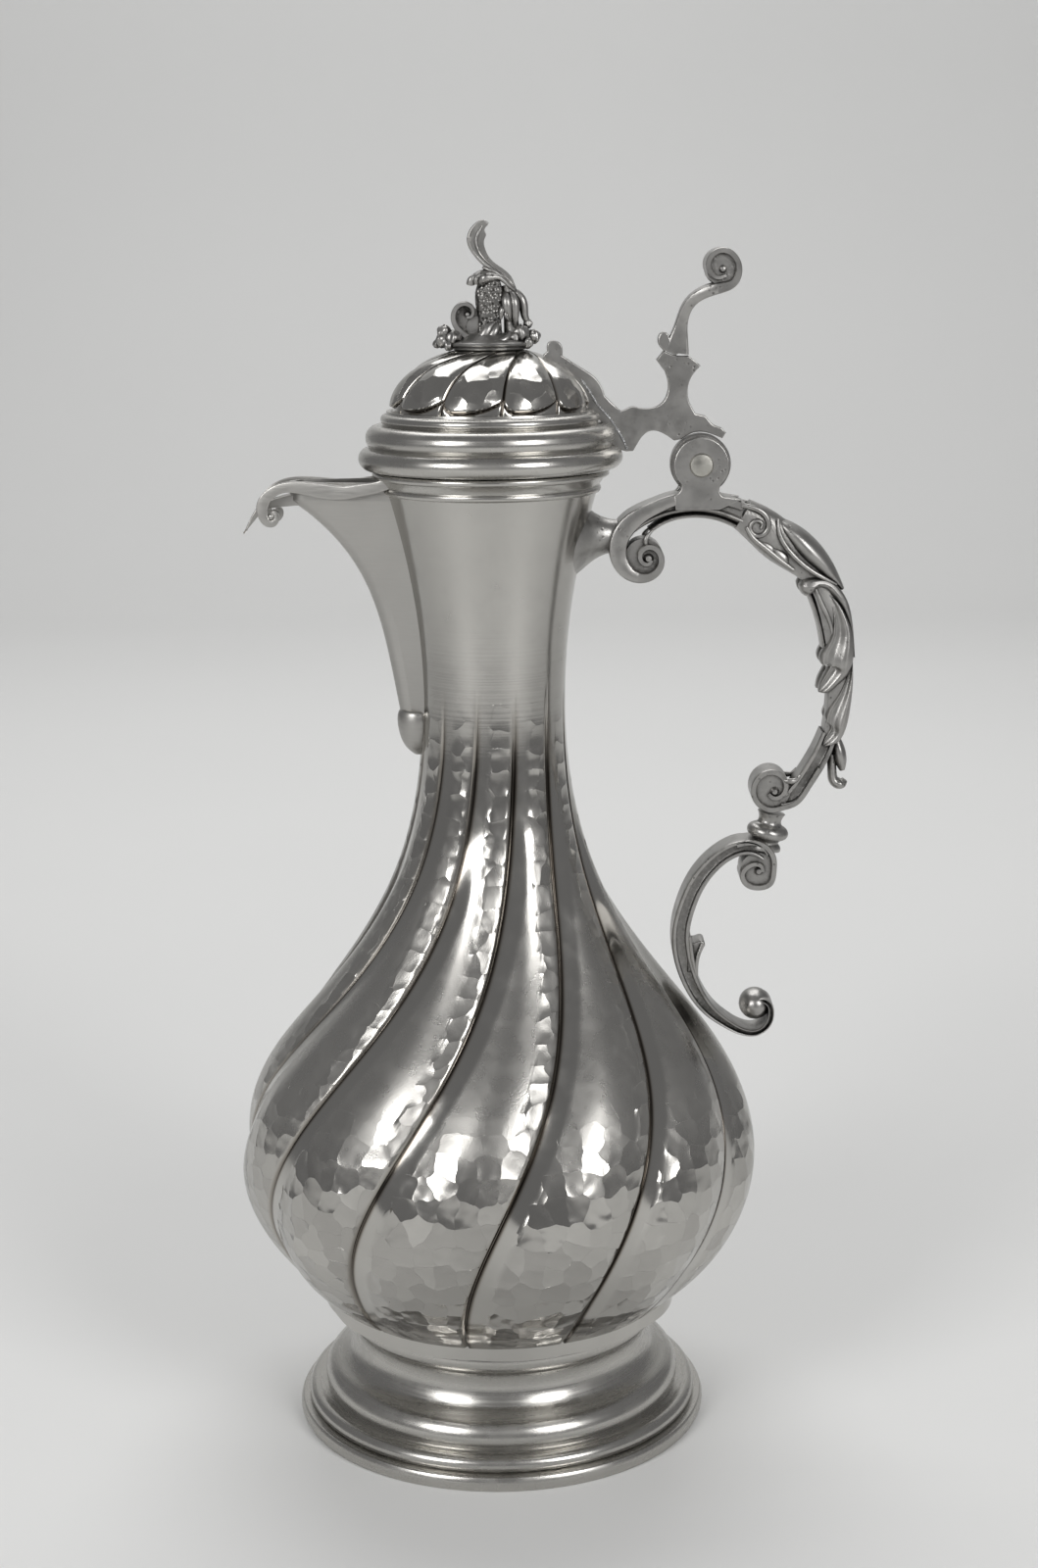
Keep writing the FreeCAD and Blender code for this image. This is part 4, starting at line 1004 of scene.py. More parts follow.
# Plain bar with flat sides and softened edges
FLAT_SECTION = two_sided(
    [(1.0, 0.6), (1.0, 0.88), (0.9, 0.97), (0.75, 1.0), (-0.75, 1.0), (-0.9, 0.97), (-1.0, 0.88), (-1.0, 0.6)]
)
# The same with a round outer side
STEM_SECTION = two_sided(
    [
        (1.0, 0.2), (0.97, 0.45), (0.86, 0.7), (0.65, 0.88), (0.4, 0.97), (-0.75, 1.0), (-0.9, 0.97),
        (-1.0, 0.7),
    ]
)

# Handle

HANDLE_HALF = 6.0
EAR_HALF = 1.575
EAR_MIDDLE = HANDLE_HALF - EAR_HALF
EAR_RADIUS = 7.5
EAR_SIDE = EAR_RADIUS * math.sqrt(0.5)
# Share of the width that is left in the notches of a milled edge
MILLING_DEPTH = 0.99
# How far the arch's bar lies inside the faces of the ears
BAR_INSET = 0.08


def ear_outline():
    x, z = HINGE_X, HINGE_Z
    return outline(
        (49.6, 265.9),
        [
            ((51.2, 267.2), (x - EAR_SIDE, z - EAR_SIDE)),
            ((x, z + EAR_RADIUS), (x + EAR_SIDE, z - EAR_SIDE)),
            ((61.9, 267.2), (62.9, 265.6)),
            ((68.0, 264.7),),
            ((65.3, 263.5),),
            ((62.0, 262.0),),
            ((50.0, 262.0),),
        ],
        count=20,
    )


def milled_parts(points, half, wide, count=150):
    """Bar through points (x, z) with fine notches across it."""
    line = smooth_line([(x, z, half, wide) for x, z in points], count)
    rows = sweep_rows(line, OVAL)
    rows[1::2, :, 1] *= MILLING_DEPTH
    return grid_parts(rows)


def bar_parts(points, wide, section, count=160):
    """Bar through points (x, z, half thickness) of one width."""
    return sweep(smooth_line([(*point, wide) for point in points], count), section)


def disc_parts(center, radius, half):
    return drum_parts(*center, [(0.05, -half), (radius, -half), (radius, half), (0.05, half)])


def make_arch():
    eye = (42.8, 248.8)
    keys = [
        (690, 1.0, 0.5, 5.2), (630, 1.5, 0.6, 5.3), (585, 1.9, 0.65, 5.4), (540, 2.3, 0.7, 5.5),
        (495, 2.8, 0.75, 5.6), (450, 3.2, 0.8, 5.7), (405, 3.3, 0.85, 5.8), (360, 3.4, 0.9, 5.9),
        (315, 4.0, 1.0, HANDLE_HALF), (270, 5.0, 1.25, HANDLE_HALF), (225, 6.4, 1.7, HANDLE_HALF),
        (185, 7.9, 2.2, HANDLE_HALF),
    ]
    upper = [
        (35.4, 255.4, 2.5), (37.6, 258.3, 2.5), (41.0, 260.9, 2.1), (45.6, 263.1, 1.8), (50.0, 264.7, 1.6),
        (56.0, 265.2, 1.3), (62.2, 264.6, 1.2), (68.4, 262.8, 1.2),
    ]
    line = smooth_line(curl(eye, keys) + [(*spot, HANDLE_HALF - BAR_INSET) for spot in upper], 300)
    bead = [
        (38.8, 256.2, 0.5), (40.6, 257.8, 0.9), (43.4, 259.5, 1.05), (50.0, 261.7, 1.2),
        (56.5, 262.2, 1.25), (62.4, 261.2, 1.4), (68.3, 258.8, 1.5),
    ]
    web = [
        (38.0, 257.2, 1.0), (43.0, 260.4, 1.8), (50.0, 263.0, 2.0), (56.6, 263.4, 2.0), (62.4, 262.6, 2.2),
        (68.2, 260.8, 2.8),
    ]
    under = [(43.2, 256.2), (46.0, 258.1), (50.0, 259.7), (56.8, 260.3), (62.9, 259.1), (67.4, 257.0)]
    parts = [
        sweep(line, FLAT_SECTION),
        bar_parts(bead, 5.8, OVAL),
        bar_parts(web, 4.9, FLAT_SECTION),
        milled_parts(under, 0.95, 4.7),
        disc_parts((41.6, 249.0), 5.2, 4.3),
        drum_parts(*eye, boss_profile(1.7, 5.4)),
    ]
    spur = [
        (42.2, -4.8, 252.6, 0.5), (42.0, -4.9, 254.0, 0.7), (42.8, -4.8, 255.4, 0.5),
        (44.0, -4.6, 256.6, 0.3),
    ]
    parts += vine_pair(spur)
    parts += [plate_mesh(ear_outline(), EAR_HALF, 0.3, side * EAR_MIDDLE) for side in (-1, 1)]
    add_casting("handle_arch", parts, "jug")


def make_stub():
    """Boss that flares onto the neck."""
    level = HINGE_Z - 19.5
    flare = [
        (12.6, -1.2), (10.9, 1.2), (9.3, 3.2), (7.6, 5.2), (6.2, 7.2), (5.2, 9.2), (4.6, 11.4), (4.5, 13.0),
    ]
    profile = [(0.1, -3.0)] + smooth_line(flare, 40).tolist() + [(0.1, 13.2)]
    add_casting("neck_stub", [spindle_parts((21.4, level), 90, profile)], "jug")


# Grip: a flat stem under a bud and leaves, which ends in a scroll

GRIP_STEM = [
    (68.5, 260.4, 4.3, 5.6), (73.0, 257.4, 5.2, 5.6), (78.4, 253.0, 5.6, 5.5), (84.0, 248.2, 4.6, 5.3),
    (88.8, 242.6, 3.2, 5.0), (92.6, 234.8, 3.6, 4.8), (95.0, 225.6, 3.9, 4.6), (95.6, 216.0, 3.3, 4.5),
    (95.2, 207.0, 3.0, 4.4), (93.6, 198.4, 2.4, 4.4),
]
GRIP_BUD = [
    (77.9, 259.5, 0.5, 3.0), (79.6, 257.2, 1.9, 5.2), (82.6, 254.4, 3.0, 6.6), (86.2, 250.8, 3.5, 7.3),
    (90.0, 246.9, 3.0, 6.8), (93.4, 243.0, 1.9, 5.4), (96.2, 239.6, 0.6, 3.0),
]
BUD_BORDER = [
    (77.9, -5.4, 259.4, 0.3), (78.2, -5.6, 255.9, 0.6), (80.0, -5.8, 252.0, 0.7), (82.8, -5.9, 248.7, 0.7),
    (86.3, -5.8, 245.7, 0.7), (90.4, -5.6, 243.2, 0.6), (94.2, -4.8, 241.2, 0.3),
]
SIDE_STRIP = [(67.9, 263.2, 0.7), (71.4, 262.3, 0.8), (74.2, 260.6, 0.8), (75.3, 258.2, 0.75)]
SIDE_EYE = (72.6, 257.2)
SIDE_HALF = 0.75
SIDE_AT = 5.5
LOWER_RIM = [
    (69.3, -5.5, 257.2, 0.6), (71.2, -5.6, 254.2, 0.75), (73.9, -5.6, 251.9, 0.8), (78.9, -5.5, 247.8, 0.8),
    (82.2, -5.3, 245.4, 0.6),
]
# Left edge, right edge, depth of the foot, height and section of each leaf
GRIP_LEAVES = [
    (
        [
            (83.9, 241.2), (84.7, 238.8), (86.8, 238.1), (88.1, 239.8), (90.4, 240.3), (93.1, 238.4),
            (95.8, 235.0), (97.9, 229.6), (99.5, 220.8),
        ],
        [
            (83.9, 241.2), (85.3, 242.9), (88.7, 243.4), (92.4, 242.4), (95.4, 239.7), (97.5, 236.0),
            (98.7, 231.0), (99.6, 220.8),
        ],
        4.2,
        2.9,
        DOMED,
    ),
    (
        [
            (91.4, 239.1), (92.9, 235.1), (93.4, 230.3), (92.3, 225.6), (90.4, 222.6), (89.9, 220.6),
            (90.7, 219.0), (92.4, 219.4), (91.5, 216.8), (90.0, 213.4), (89.7, 211.5),
        ],
        [
            (91.5, 239.0), (94.2, 236.9), (96.6, 233.5), (98.6, 228.8), (99.2, 224.0), (98.9, 219.3),
            (97.6, 215.9), (95.0, 213.2), (91.7, 211.0), (89.8, 211.3),
        ],
        4.2,
        2.7,
        CUPPED,
    ),
    (
        [
            (99.0, 219.8), (97.5, 215.4), (94.6, 209.6), (92.3, 206.2), (92.0, 203.1), (93.0, 202.1),
            (91.6, 198.6), (91.3, 196.2),
        ],
        [(99.1, 219.6), (99.2, 213.8), (98.7, 207.7), (97.6, 201.5), (94.9, 196.8), (91.4, 195.9)],
        4.0,
        2.3,
        CUPPED,
    ),
    (
        [(72.8, 253.4), (74.6, 251.0), (76.6, 249.9), (77.3, 249.9)],
        [(72.8, 253.4), (75.0, 253.0), (76.7, 251.9), (77.3, 249.9)],
        5.2,
        1.0,
        DOMED,
    ),
    (
        [(76.2, 251.6), (77.4, 248.9), (79.4, 247.3), (81.0, 247.1)],
        [(76.2, 251.6), (78.8, 250.9), (80.6, 249.4), (81.0, 247.1)],
        5.2,
        1.2,
        DOMED,
    ),
]
GRIP_TAILS = [
    [(94.8, 0.0, 198.4, 1.2), (96.0, 0.0, 194.2, 1.9), (96.8, 0.0, 190.6, 1.6), (97.2, 0.0, 188.4, 0.8)],
    [
        (94.0, 0.0, 193.0, 1.2), (94.4, 0.0, 187.8, 1.3), (95.3, 0.0, 185.0, 1.5), (97.0, 0.0, 184.6, 1.5),
        (98.0, 0.0, 185.6, 0.8),
    ],
]
GRIP_EYE = (77.4, 183.5)


def make_grip():
    rim = [
        (-500, 1.4, 0.6, 4.9), (-450, 1.9, 0.65, 5.0), (-405, 2.6, 0.7, 5.0), (-360, 3.5, 0.75, 5.0),
        (-315, 4.6, 0.8, 5.0), (-270, 5.3, 0.8, 5.0), (-225, 5.4, 0.8, 5.0), (-180, 5.3, 0.8, 5.0),
        (-135, 5.3, 0.8, 5.0), (-90, 5.4, 0.8, 5.0), (-60, 5.6, 0.8, 5.0),
    ]
    scroll = curl(GRIP_EYE, rim) + [(83.6, 179.8, 0.8, 5.0), (86.8, 183.6, 0.8, 5.0), (90.4, 189.8, 0.7, 5.0)]
    bar = [
        (79.6, 180.6, 1.4), (82.6, 181.6, 2.2), (85.4, 184.6, 2.5), (88.6, 189.6, 2.5), (91.4, 195.0, 2.4),
        (93.0, 199.4, 2.2),
    ]
    ridge = [
        (88.4, -4.7, 240.0, 0.6), (90.6, -4.7, 235.0, 0.7), (92.6, -4.6, 230.6, 0.6),
        (93.4, -4.4, 227.0, 0.4),
    ]
    spur = [
        (80.4, -4.4, 186.4, 0.5), (81.8, -4.7, 186.3, 0.8), (83.4, -4.7, 186.4, 0.7),
        (85.0, -4.6, 188.0, 0.4),
    ]
    edge = [(86.6, 239.6), (88.6, 234.4), (90.2, 229.0), (91.2, 223.6)]
    side_roll = [
        (-50, 2.4, 0.7), (-110, 2.4, 0.65), (-180, 2.3, 0.6), (-250, 1.9, 0.55), (-320, 1.3, 0.5),
        (-390, 0.7, 0.4),
    ]
    side = [(*spot, SIDE_HALF) for spot in SIDE_STRIP]
    side += curl(SIDE_EYE, [(*key, SIDE_HALF) for key in side_roll])
    parts = [
        sweep(smooth_line(GRIP_STEM, 120), STEM_SECTION),
        sweep(smooth_line(GRIP_BUD, 70), OVAL),
        sweep(smooth_line(scroll, 220), FLAT_SECTION),
        bar_parts(bar, 4.8, BAND),
        disc_parts(GRIP_EYE, 5.0, 4.0),
        drum_parts(78.0, 183.3, boss_profile(1.5, 5.3)),
        milled_parts(edge, 0.8, 4.2, 70),
    ]
    for stem in (BUD_BORDER, LOWER_RIM, ridge, spur):
        parts += vine_pair(stem)
    for leaf in GRIP_LEAVES:
        parts += relief_pair(*leaf)
    parts += [vine_parts(tail, flat=1.7) for tail in GRIP_TAILS]
    parts += [moved(sweep(smooth_line(side, 110), OVAL), depth) for depth in (-SIDE_AT, SIDE_AT)]
    add_casting("handle_grip", parts, "jug")


def make_knop():
    turned_line = [
        (4.6, -1.6), (4.4, -0.4), (3.6, 0.6), (4.2, 1.5), (5.3, 2.2), (5.85, 3.3), (5.5, 4.5), (4.5, 5.3),
        (3.5, 5.9), (3.2, 6.8), (3.4, 7.9), (3.9, 9.0),
    ]
    profile = [(0.1, -1.7)] + smooth_line(turned_line, 60).tolist() + [(0.1, 9.1)]
    add_casting("handle_knop", [spindle_parts((75.9, 167.6), 11, profile)], "jug")


def make_lower_scroll():
    eye = (73.8, 160.4)
    rim = [
        (74.9, 160.3, 0.6), (74.6, 161.7, 0.6), (73.2, 162.5, 0.65), (71.0, 161.9, 0.7),
        (69.3, 159.9, 0.75), (70.0, 157.2, 0.8), (73.6, 155.7, 0.8), (77.1, 156.9, 0.8), (78.0, 160.3, 0.8),
        (77.8, 164.4, 0.8), (75.7, 167.4, 0.8), (72.3, 168.7, 0.8), (67.6, 168.0, 0.7),
    ]
    band = [
        (75.6, 164.6, 1.2), (73.6, 166.4, 1.8), (70.6, 167.3, 2.1), (64.2, 165.2, 2.2), (60.0, 161.6, 2.3),
        (56.5, 156.8, 2.4), (53.7, 150.3, 2.45), (52.1, 143.0, 2.5), (52.6, 135.8, 2.6), (54.6, 129.0, 2.4),
        (57.4, 123.4, 2.1), (61.0, 119.0, 1.7), (64.9, 116.0, 1.35), (69.3, 113.6, 1.1), (73.9, 113.2, 0.9),
        (77.0, 115.7, 0.85), (77.8, 119.0, 0.85), (76.8, 121.9, 0.75), (74.6, 122.5, 0.65),
        (73.7, 121.4, 0.5),
    ]
    ball = (73.4, 120.6)
    knob = [(0.05, -5.7), (1.6, -5.5), (2.6, -4.7), (3.5, -3.4), (4.3, -1.6), (4.5, 0.0)]
    knob += [(r, -y) for r, y in reversed(knob[:-1])]
    thorn = [
        (54.0, 140.4), (56.2, 139.7), (58.0, 140.2), (58.9, 139.4), (58.4, 138.0), (57.2, 135.6),
        (56.4, 132.0), (54.0, 131.0),
    ]
    tip = [
        (58.3, -4.2, 139.5, 0.75), (57.4, -4.5, 137.4, 0.6), (56.5, -4.6, 134.0, 0.6),
        (56.6, -4.5, 130.2, 0.4),
    ]
    fork = [
        (54.6, -4.6, 141.6, 0.5), (55.0, -4.7, 138.0, 0.6), (55.5, -4.7, 134.4, 0.6),
        (56.5, -4.6, 130.2, 0.4),
    ]
    parts = [
        bar_parts(rim, 5.0, FLAT_SECTION, 220),
        bar_parts(band, 5.0, BAND, 320),
        drum_parts(*eye, boss_profile(1.4, 5.2)),
        disc_parts((73.6, 160.6), 5.0, 3.9),
        drum_parts(*ball, knob),
        plate_mesh(smooth_runs([thorn]), 4.0, 0.5),
    ]
    for stem in (tip, fork):
        parts += vine_pair(stem)
    add_casting("handle_lower_scroll", parts, "jug")


# Strap, hinge and thumbpiece

STRAP_HALF = 2.0
KNUCKLE_BORE = 3.35
KNUCKLE_EDGE = 0.3


def strap_outline():
    return smooth_runs(
        [
            [(15.6, 304.6), (15.8, 306.8), (17.6, 307.5), (19.3, 306.5), (19.7, 303.6)],
            [(19.7, 303.4), (23.9, 300.7), (26.6, 299.0), (28.6, 297.4), (29.9, 295.7), (31.1, 292.6)],
            [(31.1, 292.6), (33.1, 290.6)],
            [(33.1, 290.6), (35.4, 288.5)],
            [(35.4, 288.5), (36.9, 289.0), (38.7, 289.7), (39.6, 289.5)],
            [(40.5, 289.2), (42.3, 289.1), (44.2, 289.3), (46.0, 290.2), (47.5, 291.9), (48.2, 294.3)],
            [(48.2, 294.3), (48.1, 296.4), (47.3, 299.0)],
            [(47.3, 299.0), (45.0, 302.1)],
            [(45.0, 302.1), (46.9, 304.5)],
            [(46.9, 304.5), (50.2, 303.2), (53.7, 303.1)],
            [(53.7, 303.1), (56.9, 300.5)],
            [(56.9, 300.5), (54.4, 297.4), (53.4, 293.5), (53.9, 290.8), (55.6, 287.6)],
            [(55.6, 287.6), (58.3, 287.0)],
            [(58.3, 287.0), (59.4, 285.6), (60.2, 284.8), (62.6, 283.8)],
            [(62.6, 283.8), (63.9, 282.5)],
            [(63.9, 282.5), (62.9, 281.0)],
            [(62.9, 281.0), (59.9, 282.2), (57.0, 282.8), (54.2, 282.3), (51.9, 280.9)],
            [(51.9, 280.9), (49.8, 280.5)],
            [
                (49.8, 280.5), (47.3, 282.2), (45.2, 283.1), (43.2, 283.1), (41.1, 281.6), (39.7, 279.5),
                (38.7, 277.8),
            ],
            [(38.7, 277.8), (36.9, 277.7)],
            [(35.0, 278.2), (32.0, 281.0), (30.6, 285.0), (27.0, 288.6), (25.6, 292.0)],
            [(22.6, 296.0), (17.0, 300.6), (14.0, 303.2)],
        ]
    )


def make_strap():
    add_casting("lid_strap", [plate_mesh(strap_outline(), STRAP_HALF, 0.28)], "lid")


def make_knuckle():
    """Barrel of the lid's side of the hinge, open for the pin."""
    low, high = node_box("lid_knuckle")
    radius, half = (high[0] - low[0]) / 2, high[1]
    side = [(KNUCKLE_BORE, half), (radius - KNUCKLE_EDGE, half), (radius, half - KNUCKLE_EDGE)]
    profile = [(r, -y) for r, y in side] + side[::-1]
    add_casting("lid_knuckle", [drum_parts(HINGE_X, HINGE_Z, profile, 96)], "lid")


def make_strap_solder():
    """Lumpy line of solder where the strap lies on the lid."""
    path = [
        (37.0, 278.4), (35.6, 281.6), (33.8, 284.6), (31.6, 287.6), (29.0, 290.4), (27.4, 293.2),
        (24.6, 297.2),
    ]
    line = smooth_line(path, 90)
    steps = np.arange(len(line))
    radius = 0.32 + 0.08 * np.sin(1.7 * steps) + 0.06 * np.sin(0.6 * steps + 1)
    front = np.column_stack([line[:, 0], np.full(len(line), -STRAP_HALF), line[:, 1], radius])
    seams = vine_pair(front, count=180, segments=10)
    add_piece("strap_solder", joined_mesh("strap_solder", seams), "lid", [], SOLDERED)


def make_pin():
    """Riveted pin with its two flat heads."""
    low, high = node_box("hinge_pin")
    radius, half = (high[0] - low[0]) / 2, high[1]
    head = [(0.05, half - 0.05), (0.6 * radius, half - 0.1), (0.88 * radius, half - 0.3)]
    side = head + [(radius, HANDLE_HALF)]
    profile = [(r, -y) for r, y in side] + [(r, y) for r, y in reversed(side)]
    mesh = joined_mesh("hinge_pin", [drum_parts(HINGE_X, HINGE_Z, profile, 64)])
    add_piece("hinge_pin", mesh, "jug", ["hinge_pin"], PIN)


def make_thumbpiece():
    eye = (62.4, 326.0)
    stem = [
        (50.4, 303.9, 3.3, 2.2), (51.0, 307.6, 2.5, 2.3), (51.6, 311.0, 1.7, 2.6), (52.5, 314.4, 1.4, 3.2),
        (54.4, 317.6, 1.4, 4.3), (57.4, 319.7, 1.5, 5.3), (61.4, 321.0, 1.5, 6.0),
    ]
    roll = [
        (-50, 4.6, 1.1, 6.3), (-10, 4.3, 0.9, 6.4), (40, 4.4, 0.8, 6.45), (90, 4.9, 0.8, 6.5),
        (140, 4.5, 0.75, 6.4), (190, 3.5, 0.7, 6.2), (240, 2.6, 0.6, 6.0), (300, 1.9, 0.5, 5.8),
    ]
    line = smooth_line(stem + curl(eye, roll), 220)
    heel = [(46.9, 304.6), (45.6, 306.2), (45.5, 308.2), (46.6, 309.5), (48.0, 309.1), (48.5, 307.7)]
    top = [(49.0, 308.2), (50.4, 309.0)]
    side = [(52.4, 305.0), (50.2, 303.3)]
    parts = [
        sweep(line, FLAT_SECTION),
        drum_parts(*eye, boss_profile(1.35, 6.35)),
        disc_parts(eye, 4.3, 5.2),
        plate_mesh(smooth_runs([heel, top, side]), 2.2, 0.3),
    ]
    add_casting("thumbpiece", parts, "lid")


# Finial: base with lumps of rockwork, scrolled body under a hood of leaves, and a fluted plume

ROCKS = [
    (-12.1, -1.9, 309.9, 1.9), (-14.0, -1.5, 306.9, 1.1), (-10.7, -4.6, 306.5, 1.3),
    (-9.3, -3.8, 308.4, 2.0), (-12.4, -2.4, 307.9, 2.0), (8.6, -3.2, 309.5, 2.2), (12.0, -1.6, 308.6, 1.8),
    (10.5, -0.8, 312.0, 1.2), (10.2, -3.6, 307.1, 1.6), (6.8, -4.8, 308.4, 1.5),
]
SWIRLS = [
    [(-4.4, -4.4, 308.0, 0.7), (-1.7, -5.2, 308.9, 1.3), (-0.1, -4.8, 311.0, 1.3), (1.6, -4.0, 312.6, 0.5)],
    [(-0.7, -5.6, 308.4, 0.6), (0.9, -5.6, 309.3, 1.1), (2.0, -4.8, 311.3, 1.0), (2.4, -4.0, 312.6, 0.4)],
    [
        (-2.8, -7.2, 306.9, 0.5), (0.0, -7.5, 307.0, 0.9), (3.0, -7.0, 307.6, 1.1), (5.0, -6.0, 308.8, 0.9),
        (5.7, -5.0, 310.2, 0.4),
    ],
]
SIDE_LEAVES = [
    [
        (4.6, -2.6, 320.4, 0.5), (4.8, -3.8, 318.4, 1.3), (5.0, -4.0, 316.4, 1.3), (5.4, -3.6, 314.4, 0.9),
        (5.8, -3.2, 313.0, 0.35),
    ],
    [
        (6.0, -2.2, 320.4, 0.6), (6.8, -3.0, 318.2, 1.3), (7.0, -3.1, 315.8, 1.3), (7.1, -2.9, 313.4, 0.9),
        (7.1, -2.6, 311.4, 0.35),
    ],
    [(4.3, -3.4, 317.0, 0.5), (3.6, -3.9, 315.6, 0.8), (3.2, -3.8, 313.4, 0.35)],
    [(4.6, -3.8, 315.6, 0.5), (4.7, -4.1, 314.4, 0.7), (5.4, -3.7, 313.0, 0.35)],
    [
        (7.3, -0.7, 320.6, 0.8), (8.7, -1.0, 318.7, 1.2), (9.4, -1.0, 316.2, 1.2), (9.7, -0.9, 314.0, 1.0),
        (10.6, -0.7, 312.2, 0.7),
    ],
]
HOOD_LEAVES = [
    [(-4.8, -1.8, 322.6, 1.1), (-4.5, -2.2, 323.8, 1.0), (-3.6, -2.4, 324.8, 0.5)],
    [(-3.2, -2.7, 322.7, 0.6), (-3.2, -3.1, 323.8, 0.7), (-2.3, -2.9, 325.3, 0.4)],
    [
        (-1.9, -3.3, 323.0, 0.8), (-1.2, -3.8, 324.0, 1.3), (0.8, -3.8, 324.4, 1.0),
        (2.8, -3.5, 324.3, 0.6), (5.0, -2.8, 322.6, 0.5), (6.9, -1.8, 320.9, 0.4),
    ],
    [(-1.5, -1.2, 327.0, 0.3), (0.4, -1.8, 326.2, 0.7), (2.8, -1.8, 325.0, 0.6), (5.4, -1.4, 323.0, 0.5)],
]
PLUME_LEFT = [
    (0.0, 338.2), (-1.2, 338.9), (-3.0, 338.2), (-4.6, 336.2), (-5.1, 334.5), (-4.7, 332.4), (-3.6, 330.6),
    (-2.3, 329.0), (-0.5, 327.4), (1.9, 325.8), (4.6, 324.2), (6.4, 322.3),
]
PLUME_RIGHT = [
    (0.0, 338.0), (-0.6, 337.4), (-0.9, 336.6), (-0.5, 335.6), (-0.9, 334.4), (-1.1, 333.4), (-0.7, 331.6),
    (0.6, 329.2), (2.7, 327.4), (4.9, 325.8), (6.7, 323.4), (7.1, 321.8),
]
FLUTED = [
    (0, 0.2), (0.08, 0.85), (0.18, 0.55), (0.28, 0.35), (0.42, 1), (0.55, 0.9), (0.68, 0.35), (0.8, 0.3),
    (0.9, 0.75), (1, 0.2),
]


def rock_parts(x, y, z, size):
    """Rough ball of the rockwork."""
    tilt = np.linspace(-0.5 * math.pi, 0.5 * math.pi, 21)[:, None]
    around = even_turns(32)[None, :]
    rough = 0.1 * np.sin(5 * around + x) * np.cos(tilt) + 0.1 * np.sin(4 * tilt + z) * np.cos(3 * around + x)
    reach = size * (1 + rough)
    wide = np.maximum(np.cos(tilt), 0.02) * reach
    spots = [x + wide * np.cos(around), y + wide * np.sin(around), z + reach * np.sin(tilt)]
    return grid_parts(np.stack(spots, axis=-1))


def make_finial_base():
    foot = DOME_TOP
    profile = [
        (0.1, foot), (9.7, foot), (10.0, foot + 0.5), (9.8, foot + 0.9), (11.0, foot + 1.0),
        (11.4, foot + 1.5), (10.8, foot + 2.1), (8.6, foot + 2.8), (7.2, foot + 3.6), (6.2, foot + 4.4),
        (0.1, foot + 4.6),
    ]
    parts = [grid_parts(ring_rows(rounded(profile), 96))]
    for x, y, z, size in ROCKS:
        parts += [rock_parts(x, side * y, z, size) for side in (1, -1)]
    add_casting("finial_base", parts, "lid")


def make_finial_scroll():
    eye = (-5.7, 314.7)
    keys = [
        (-100, 0.7, 0.4, 3.0), (-40, 1.1, 0.45, 3.1), (20, 1.6, 0.5, 3.2), (62, 2.2, 0.55, 3.3),
        (107, 2.9, 0.6, 3.4), (150, 3.4, 0.65, 3.4), (194, 3.9, 0.7, 3.5), (235, 4.6, 0.75, 3.6),
        (262, 5.5, 0.8, 3.8),
    ]
    end = [(-4.2, 308.4, 0.9, 4.0), (-1.2, 308.6, 1.2, 4.2), (1.4, 310.0, 1.2, 4.0), (2.4, 312.4, 0.9, 3.4)]
    hood = [
        (-4.8, 322.9, 0.9, 2.6), (-3.6, 324.0, 1.3, 3.2), (-1.4, 324.7, 1.7, 3.6), (1.0, 324.8, 1.3, 3.6),
        (3.0, 324.3, 0.9, 3.3), (5.2, 322.8, 0.8, 2.7), (7.0, 321.0, 0.6, 2.0),
    ]
    back = [(5.2, 322.4, 1.8, 2.2), (6.0, 318.0, 2.2, 2.4), (6.0, 313.0, 2.0, 2.2), (6.4, 309.0, 2.4, 2.4)]
    parts = [
        sweep(smooth_line(curl(eye, keys) + end, 170), FLAT_SECTION),
        drum_parts(*eye, boss_profile(0.95, 3.3)),
        disc_parts((-6.0, 313.4), 3.7, 1.3),
        disc_parts((-3.0, 311.2), 3.0, 1.6),
        sweep(smooth_line(hood, 80), OVAL),
        sweep(smooth_line(back, 40), OVAL),
    ]
    for leaf in SWIRLS + SIDE_LEAVES + HOOD_LEAVES:
        parts += vine_pair(leaf)
    add_casting("finial_scroll", parts, "lid")


def make_finial_panel():
    """Rough core that shows between the leaves of the finial."""
    core = [
        (0.0, 309.0, 3.6, 3.2), (0.1, 313.0, 3.2, 3.0), (0.0, 317.0, 3.5, 3.1), (0.2, 321.0, 3.6, 3.1),
        (0.4, 323.8, 2.6, 2.6),
    ]
    panel = joined_mesh("finial_panel", [sweep(smooth_line(core, 40), STEM_SECTION)])
    add_piece("finial_panel", panel, "lid", [], STIPPLED)


def make_finial_plume():
    parts = relief_pair(PLUME_LEFT, PLUME_RIGHT, 0.5, 1.6, FLUTED)
    edge = [(x, -1.1, z, 0.5) for x, z in PLUME_LEFT]
    parts += vine_pair(edge, count=90)
    add_casting("finial_plume", parts, "lid")


# Spout: a beak of sheet with a cast strip along each edge

SPOUT_ROOT = 207.0
SPOUT_TOP = 270.4
SPOUT_EDGE = SPOUT_TOP - 5.0
ROOT_X, ROOT_HALF = -8.0, 11.5
NOSE_X, NOSE_HALF = -58.0, 5.0
SPOUT_WALL = 1.6
# How far the nose reaches out at the root, what it gains up to the top, and its limit beside the lips
ROOT_REACH, NOSE_FLARE, LIP_REACH = 26.0, 37.0, 54.9
# Roundness of the nose at the root and what it gains
NOSE_ROUND, NOSE_GAIN = 3.2, 1.8
# Shares of the flare that come evenly and near the top
EVEN_FLARE, LATE_FLARE = 0.3, 0.7
SIDE_STEPS = 16
LIP_HALF = 1.25
LIP_OUTSET = 1.2
LIP_EYE = (-59.6, 261.4)
